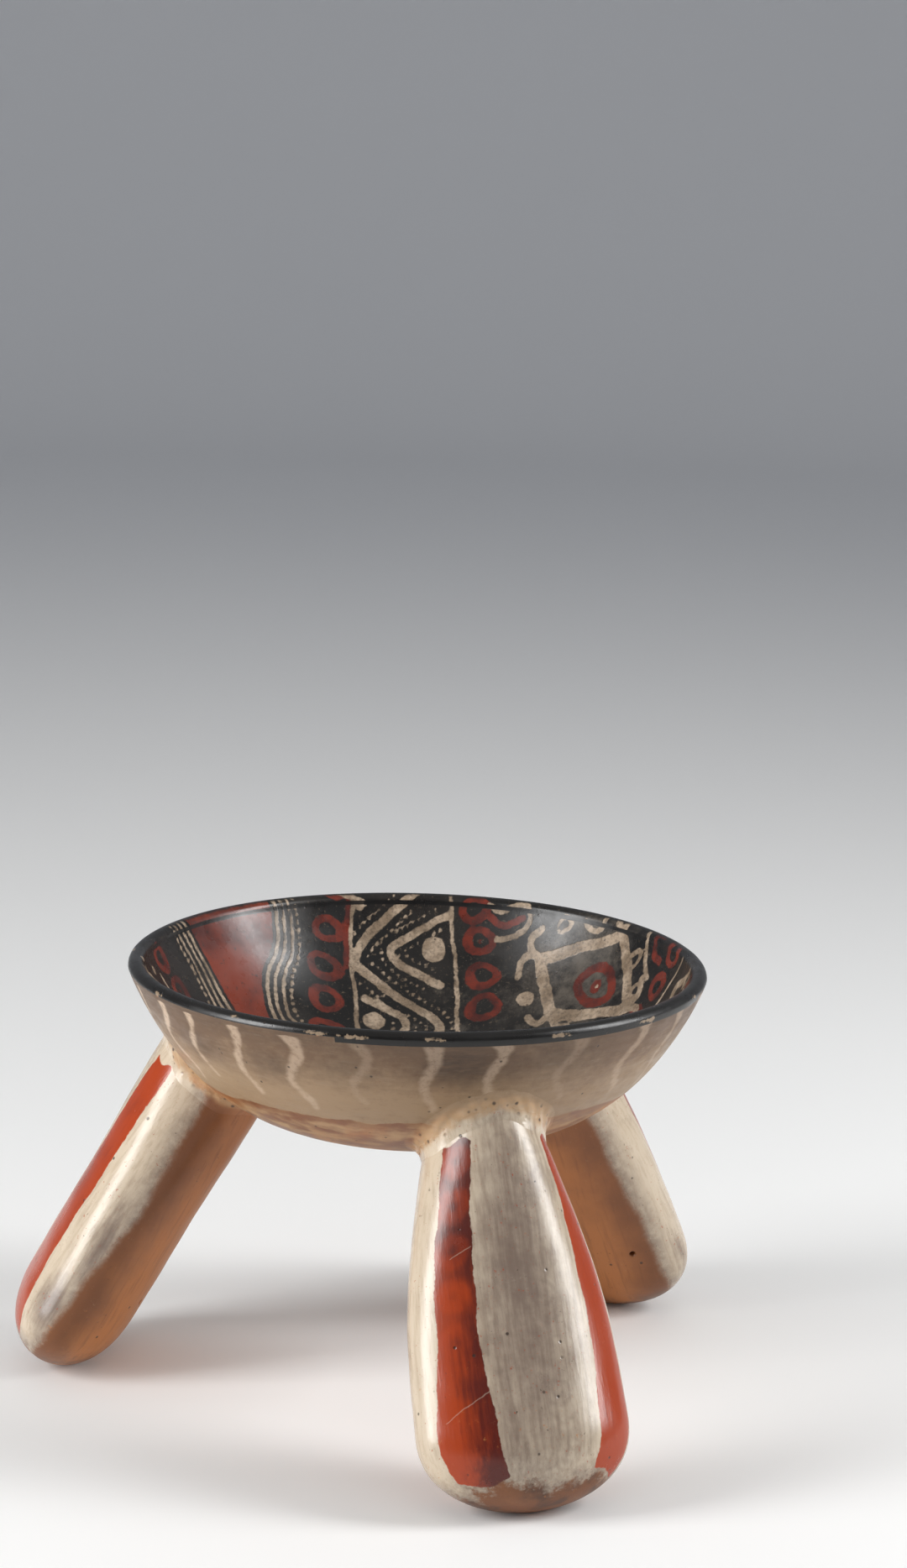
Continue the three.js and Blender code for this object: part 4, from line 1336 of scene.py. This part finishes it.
def leg_slip_layers(m, slips):
    """Colour, roughness and height of the legs' slips and clay."""
    along = field(m, "along_leg")
    lengthwise = add_node(m, "Attribute", attribute_name="leg_place").outputs["Vector"]
    broad, middling, fine = cloud(m, 24), cloud(m, 8), cloud(m, 1.4, 5.0, 0.7)
    # Rubbing marks about 1.6 mm across and 16 mm long
    rubbed = cloud(m, 1.6, 4.0, 0.6, stretch=(1, 1, 0.1), place=lengthwise)
    wear = cloud(m, 2.2, 3.0)
    raggedness = ramp(m, along, 94, 107, 2.2, 11.0)
    edge = shaken(m, shaken(m, field(m, "slip_edge"), middling, 2.5), fine, raggedness)
    unshaded = ramp(m, shaken(m, field(m, "slip_edge"), broad, 30), 1, 22)
    clay = blend(m, unshaded, slips["shaded_clay"], slips["bare_clay"])
    clay = blend(m, ramp(m, rubbed, 0.5, 0.72, 0, 0.5), clay, slips["shaded_clay"])
    clay = blend(m, ramp(m, fine, 0.6, 0.8, 0, 0.4), clay, slips["luting_clay"])
    sooty_toe = product(m, ramp(m, along, 96, 108), ramp(m, middling, 0.42, 0.66), 0.6)
    clay = blend(m, sooty_toe, clay, slips["soot"])
    mottled = cloud(m, 3.2, 5.0, 0.7)
    # Grey smudges and, across each leg's outer face, painted shade
    smudge = shaken(m, shaken(m, shaken(m, field(m, "smudge"), middling, 0.6), rubbed, 0.7), mottled, 0.35)
    at_edge = product(m, ramp(m, edge, -9.0, 0.5, 0.0, 0.8), ramp(m, mottled, 0.2, 0.7, 0.3, 1.0))
    smudge = maths(m, "MAXIMUM", ramp(m, smudge, -0.05, 1.15), at_edge)
    cream = blend(m, ramp(m, rubbed, 0.42, 0.68, 0, 0.25), slips["leg_cream"], slips["outer_cream"])
    cream = blend(m, smudge, cream, slips["leg_smudge"])
    figures = ramp(m, shaken(m, field(m, "figure_edge"), wear, 1.2), 0.6, -0.5)
    cream = blend(m, product(m, figures, ramp(m, broad, 0.35, 0.62, 0.05, 0.4)), cream, slips["leg_smudge"])
    freckles = ramp(m, cloud(m, 1.0, 3.0, 0.6), 0.63, 0.72)
    cream = blend(m, product(m, freckles, ramp(m, middling, 0.4, 0.65, 0.1, 0.7)), cream, slips["leg_red"])
    top = blend(m, ramp(m, edge, 1.8, -1.8), clay, cream)
    # Darker red on the ringed band's inner half and near the neck, partly painted shade
    darker = shaken(m, shaken(m, field(m, "maroon_and_shade"), broad, 1.6), rubbed, 1.0)
    red = blend(m, ramp(m, darker, 0.15, 1.05), slips["leg_red"], slips["leg_dark_red"])
    rings = ramp(m, shaken(m, field(m, "ring_edge"), wear, 2.0), 1.5, -1.3)
    ringed = blend(m, rings, slips["ring_ground"], slips["leg_red"])
    red = blend(m, field(m, "ring_zone"), red, ringed)
    crack = ramp(m, maths(m, "ABSOLUTE", shaken(m, field(m, "crack_side"), middling, 2.5)), 0.24, 0.05)
    crack_run = field(m, "crack_run")
    crack = product(m, crack, ramp(m, crack_run, 0.0, 0.06), ramp(m, crack_run, 1.0, 0.94), 0.3)
    red = blend(m, crack, red, slips["leg_cream"])
    top = blend(m, ramp(m, shaken(m, field(m, "red_edge"), wear, 1.3), 0.22, -0.22), top, red)
    scuffs = product(m, ramp(m, cloud(m, 2.4, 6.0, 0.75), 0.62, 0.72), ramp(m, along, 55, 104, 0.15, 0.9))
    top = blend(m, scuffs, top, slips["bare_clay"])
    grit = product(m, ramp(m, cloud(m, 1.3, 3.0, 0.6), 0.66, 0.74), ramp(m, middling, 0.45, 0.62), 0.8)
    top = blend(m, grit, top, slips["soot"])
    specks = pits(m, 5.2, 0.7, 0.22)
    top = blend(m, product(m, specks, 0.85), top, slips["soot"])
    roughness = shaken(m, ramp(m, edge, 1, -1, 0.38, 0.24), cloud(m, 12, 5.0), 0.2)
    height = maths(m, "ADD", maths(m, "ADD", product(m, fine, 0.6), product(m, rubbed, 1.6)), middling)
    return top, roughness, maths(m, "SUBTRACT", height, product(m, specks, 2.5))


def banded_leg_slip(slips):
    """Cream and iron-red slip over earthenware, pebble-burnished lengthwise.

    The eye sees long soft highlights down each side, lengthwise rubbing marks, grey smoke smudges and
    faint brown resist figures in the cream, with painted shade in the smudges across each leg's outer face,
    deep red bands with firm edges that darken towards the face and the neck, partly as painted shade,
    orange rings near one leg's neck, small dark pits, and bare orange-brown clay on the inner side and the
    toe.
    """
    m = new_material("burnished_banded_leg_slip")
    top, roughness, height = leg_slip_layers(m, slips)
    return burnished(m, top, roughness, height, 0.3, 0.15)


def smeared_luting_clay(slips):
    """Wet clay smeared round the joint with a finger, then slipped over with the leg and the bowl.

    The eye sees no seam: the bowl's tan runs into the leg's cream, with orange smears at both sides, dark
    grit and small finger ridges. The tan and the grit in the middle of the crease are partly painted shade.
    """
    m = new_material("smeared_luting_clay")
    bowl_top, bowl_roughness, bowl_height = outer_slip_layers(m, slips)
    leg_top, leg_roughness, leg_height = leg_slip_layers(m, slips)
    middling = cloud(m, 6)
    fillet = field(m, "fillet_share")
    share = ramp(m, shaken(m, fillet, middling, 0.8), 0.15, 0.85)
    top = blend(m, share, bowl_top, leg_top)
    at_sides = ramp(m, maths(m, "ABSOLUTE", field(m, "around_leg")), 30, 85, 0.15, 0.75)
    inner_share = product(m, ramp(m, fillet, 0.0, 0.35), ramp(m, fillet, 1.0, 0.7))
    patchy = ramp(m, shaken(m, middling, cloud(m, 2, 4.0), 0.6), 0.42, 0.62)
    smears = product(m, patchy, at_sides, inner_share)
    top = blend(m, smears, top, slips["bare_clay"])
    # Tan in the middle of the crease, partly painted shade
    tan_and_crease_shade = product(m, inner_share, ramp(m, cloud(m, 3, 4.0), 0.38, 0.6, 0.4, 0.9))
    top = blend(m, tan_and_crease_shade, top, slips["luting_clay"])
    # Dark grit in the middle of the crease, partly painted shade
    grit = pits(m, 2.4, 0.9, 0.4)
    top = blend(m, product(m, grit, inner_share, 0.85), top, slips["soot"])
    of_roughness = {"Factor": share, "A": bowl_roughness, "B": leg_roughness}
    roughness = add_node(m, "Mix", of_roughness).outputs["Result"]
    of_height = {"Factor": share, "A": bowl_height, "B": leg_height}
    height = add_node(m, "Mix", of_height).outputs["Result"]
    return burnished(m, top, roughness, maths(m, "SUBTRACT", height, grit), 0.4, 0.16)


def rough_pellet_clay(slips):
    """Unpolished fired clay with sandy temper: matt, grainy and slightly uneven in colour."""
    m = new_material("rough_fired_clay")
    grit, patches = cloud(m, 0.8, 4.0, 0.7), cloud(m, 4)
    top = blend(m, ramp(m, patches, 0.35, 0.65), slips["shaded_clay"], slips["pellet_clay"])
    return burnished(m, top, 0.82, grit, 0.6, 0.25)


def floor_with_painted_light_pool(slips):
    """Smooth matt background paper, white in the middle and turning grey further out: a painted pool of
    light.
    """
    m = new_material("paper_with_painted_light_pool")
    place = add_node(m, "TexCoord").outputs["Object"]
    off_middle = add_node(m, "VectorMath", {0: place}, operation="LENGTH").outputs["Value"]
    painted_light_tone = blend(m, ramp(m, off_middle, PAINTED_LIGHT_TO, PAINTED_SHADE_FROM), slips["floor"], slips["backdrop"])
    shader = add_node(m, "BsdfPrincipled", {"Base Color": painted_light_tone})
    shader.inputs["Roughness"].default_value = 0.75
    shader.inputs["Specular IOR Level"].default_value = 0.15
    add_node(m, "OutputMaterial", {"Surface": shader.outputs["BSDF"]})
    return m


# The round studio cove, in metres: flat floor, rounded foot and upright wall, open at the top
COVE_FLOOR = 2.3
COVE_WALL = 3.2
COVE_HEIGHT = 2.7
# Distances from the middle, in metres, at which the painted pool of light starts to fade to grey and is
# wholly grey
PAINTED_LIGHT_TO = 0.45
PAINTED_SHADE_FROM = 2.3


def make_floor(material):
    """A round floor that sweeps up into a wall, so that every side has the same backdrop."""
    fillet = COVE_WALL - COVE_FLOOR
    turn = np.linspace(0, math.pi / 2, 20)
    foot = [(COVE_FLOOR + fillet * math.sin(t), 0, fillet * (1 - math.cos(t))) for t in turn]
    floor = finished(spun([(0, 0, 0), *foot, (COVE_WALL, 0, COVE_HEIGHT)], 128), "floor_sweep")
    if face_values(floor, "normal")[:, 2].sum() < 0:
        floor.data.flip_normals()
    floor.data.materials.append(material)


# The camera: aim and distance in mm about the bowl's axis, elevation and roll in degrees, and lens in mm
CAMERA_TARGET = (9.508, 0.0, 197.822)
CAMERA_DISTANCE = 1315.482
CAMERA_ELEVATION = 11.851
CAMERA_ROLL = 1.605
CAMERA_LENS = 96.36


def make_camera():
    """The camera at the height and turn from which the vessel is shown."""
    lens = bpy.data.cameras.new("studio_camera")
    lens.sensor_fit = "VERTICAL"
    lens.sensor_height = 36.0
    lens.lens = CAMERA_LENS
    lens.clip_start = 0.05
    lens.clip_end = 50.0
    camera = bpy.data.objects.new("studio_camera", lens)
    bpy.context.scene.collection.objects.link(camera)
    elevation, roll = math.radians(CAMERA_ELEVATION), math.radians(CAMERA_ROLL)
    back = Vector((0, -math.cos(elevation), math.sin(elevation)))
    right = Vector((1, 0, 0))
    up = back.cross(right)
    right_rolled = right * math.cos(roll) + up * math.sin(roll)
    up_rolled = up * math.cos(roll) - right * math.sin(roll)
    target = Vector(CAMERA_TARGET) + Vector((*AXIS_AT, 0))
    camera.location = (target + back * CAMERA_DISTANCE) * MM
    turn = camera.matrix_basis.to_3x3()
    turn.col[0], turn.col[1], turn.col[2] = right_rolled, up_rolled, back
    camera.rotation_euler = turn.to_euler()
    bpy.context.scene.camera = camera


def add_softbox(name, place, target, size, power):
    """A soft lamp that faces the vessel and stays out of the camera's picture."""
    lamp = bpy.data.lights.new(name, "AREA")
    lamp.shape = "RECTANGLE"
    lamp.size, lamp.size_y = size
    lamp.energy = power
    box = bpy.data.objects.new(name, lamp)
    box.location = place
    box.rotation_euler = (Vector(target) - Vector(place)).to_track_quat("-Z", "Y").to_euler()
    box.visible_camera = False
    bpy.context.scene.collection.objects.link(box)


# Softboxes: name, azimuth and elevation in degrees, distance in metres, width and height, and watts
SOFTBOXES = (
    ("softbox_left", -158, 20, 1.3, (0.5, 1.0), 17.5),
    ("softbox_right", -5, 28, 1.2, (0.35, 0.8), 11.0),
)
ROOM_STRENGTH = 0.5
LAMPS_AIM = (0.0, 0.0, 0.08)


def light_room():
    """A softbox low at each side, and a dim room above the cove."""
    for name, azimuth, elevation, distance, size, power in SOFTBOXES:
        turn, lift = math.radians(azimuth), math.radians(elevation)
        flat = distance * math.cos(lift)
        place = (flat * math.cos(turn), flat * math.sin(turn), LAMPS_AIM[2] + distance * math.sin(lift))
        add_softbox(name, place, LAMPS_AIM, size, power)
    world = bpy.data.worlds.new("studio_room")
    world.use_nodes = True
    world.node_tree.nodes["Background"].inputs["Color"].default_value = linear("#EDEDED")
    world.node_tree.nodes["Background"].inputs["Strength"].default_value = ROOM_STRENGTH
    bpy.context.scene.world = world


class VESSEL_OT_stage(bpy.types.Operator):
    """Make the floor, the lights and the camera"""

    bl_idname = "vessel.stage"
    bl_label = "Studio stage"

    def execute(self, context):
        make_floor(floor_with_painted_light_pool(colours()))
        light_room()
        make_camera()
        context.scene.view_settings.view_transform = "Standard"
        return {"FINISHED"}


class VESSEL_OT_bowl(bpy.types.Operator):
    """Make the painted bowl"""

    bl_idname = "vessel.bowl"
    bl_label = "Painted bowl"

    def execute(self, context):
        make_bowl(sizes(), colours())
        return {"FINISHED"}


class VESSEL_OT_legs(bpy.types.Operator):
    """Make the three hollow rattle legs"""

    bl_idname = "vessel.legs"
    bl_label = "Rattle legs"

    def execute(self, context):
        material = banded_leg_slip(colours())
        for name in LEG_NAMES:
            make_leg(sizes(), name, material)
        return {"FINISHED"}


class VESSEL_OT_collars(bpy.types.Operator):
    """Make the luting clay round the three necks"""

    bl_idname = "vessel.collars"
    bl_label = "Luting collars"

    def execute(self, context):
        material = smeared_luting_clay(colours())
        for name in LEG_NAMES:
            make_collar(sizes(), name, material)
        return {"FINISHED"}


class VESSEL_OT_pellets(bpy.types.Operator):
    """Make the loose pellets in the legs"""

    bl_idname = "vessel.pellets"
    bl_label = "Rattle pellets"

    def execute(self, context):
        material = rough_pellet_clay(colours())
        for leg, name in enumerate(LEG_NAMES):
            for number in range(1, PELLETS_IN_A_LEG + 1):
                make_pellet(f"pellet_{name}_{number}", material, 1.7 * leg + 2.9 * number)
        return {"FINISHED"}


class VESSEL_PT_panel(bpy.types.Panel):
    """Lists the vessel's operators, sizes and colours"""

    bl_idname = "VESSEL_PT_panel"
    bl_label = "Tripod rattle vessel"
    bl_space_type = "VIEW_3D"
    bl_region_type = "UI"
    bl_category = "Vessel"

    def draw(self, context):
        for operator in OPERATORS:
            self.layout.operator(operator.bl_idname)
        for group, owner in ((VesselSizes, "vessel_sizes"), (VesselColours, "vessel_colours")):
            column = self.layout.column()
            for name in group.__annotations__:
                column.prop(getattr(context.scene, owner), name)


OPERATORS = (VESSEL_OT_stage, VESSEL_OT_bowl, VESSEL_OT_legs, VESSEL_OT_collars, VESSEL_OT_pellets)
CLASSES = (VesselSizes, VesselColours, *OPERATORS, VESSEL_PT_panel)


def register():
    for each in CLASSES:
        bpy.utils.register_class(each)
    bpy.types.Scene.vessel_sizes = bpy.props.PointerProperty(type=VesselSizes)
    bpy.types.Scene.vessel_colours = bpy.props.PointerProperty(type=VesselColours)


def unregister():
    del bpy.types.Scene.vessel_colours
    del bpy.types.Scene.vessel_sizes
    for each in reversed(CLASSES):
        bpy.utils.unregister_class(each)


def main():
    register()
    bpy.ops.vessel.stage()
    bpy.ops.vessel.bowl()
    bpy.ops.vessel.legs()
    bpy.ops.vessel.collars()
    bpy.ops.vessel.pellets()


if __name__ == "__main__":
    main()
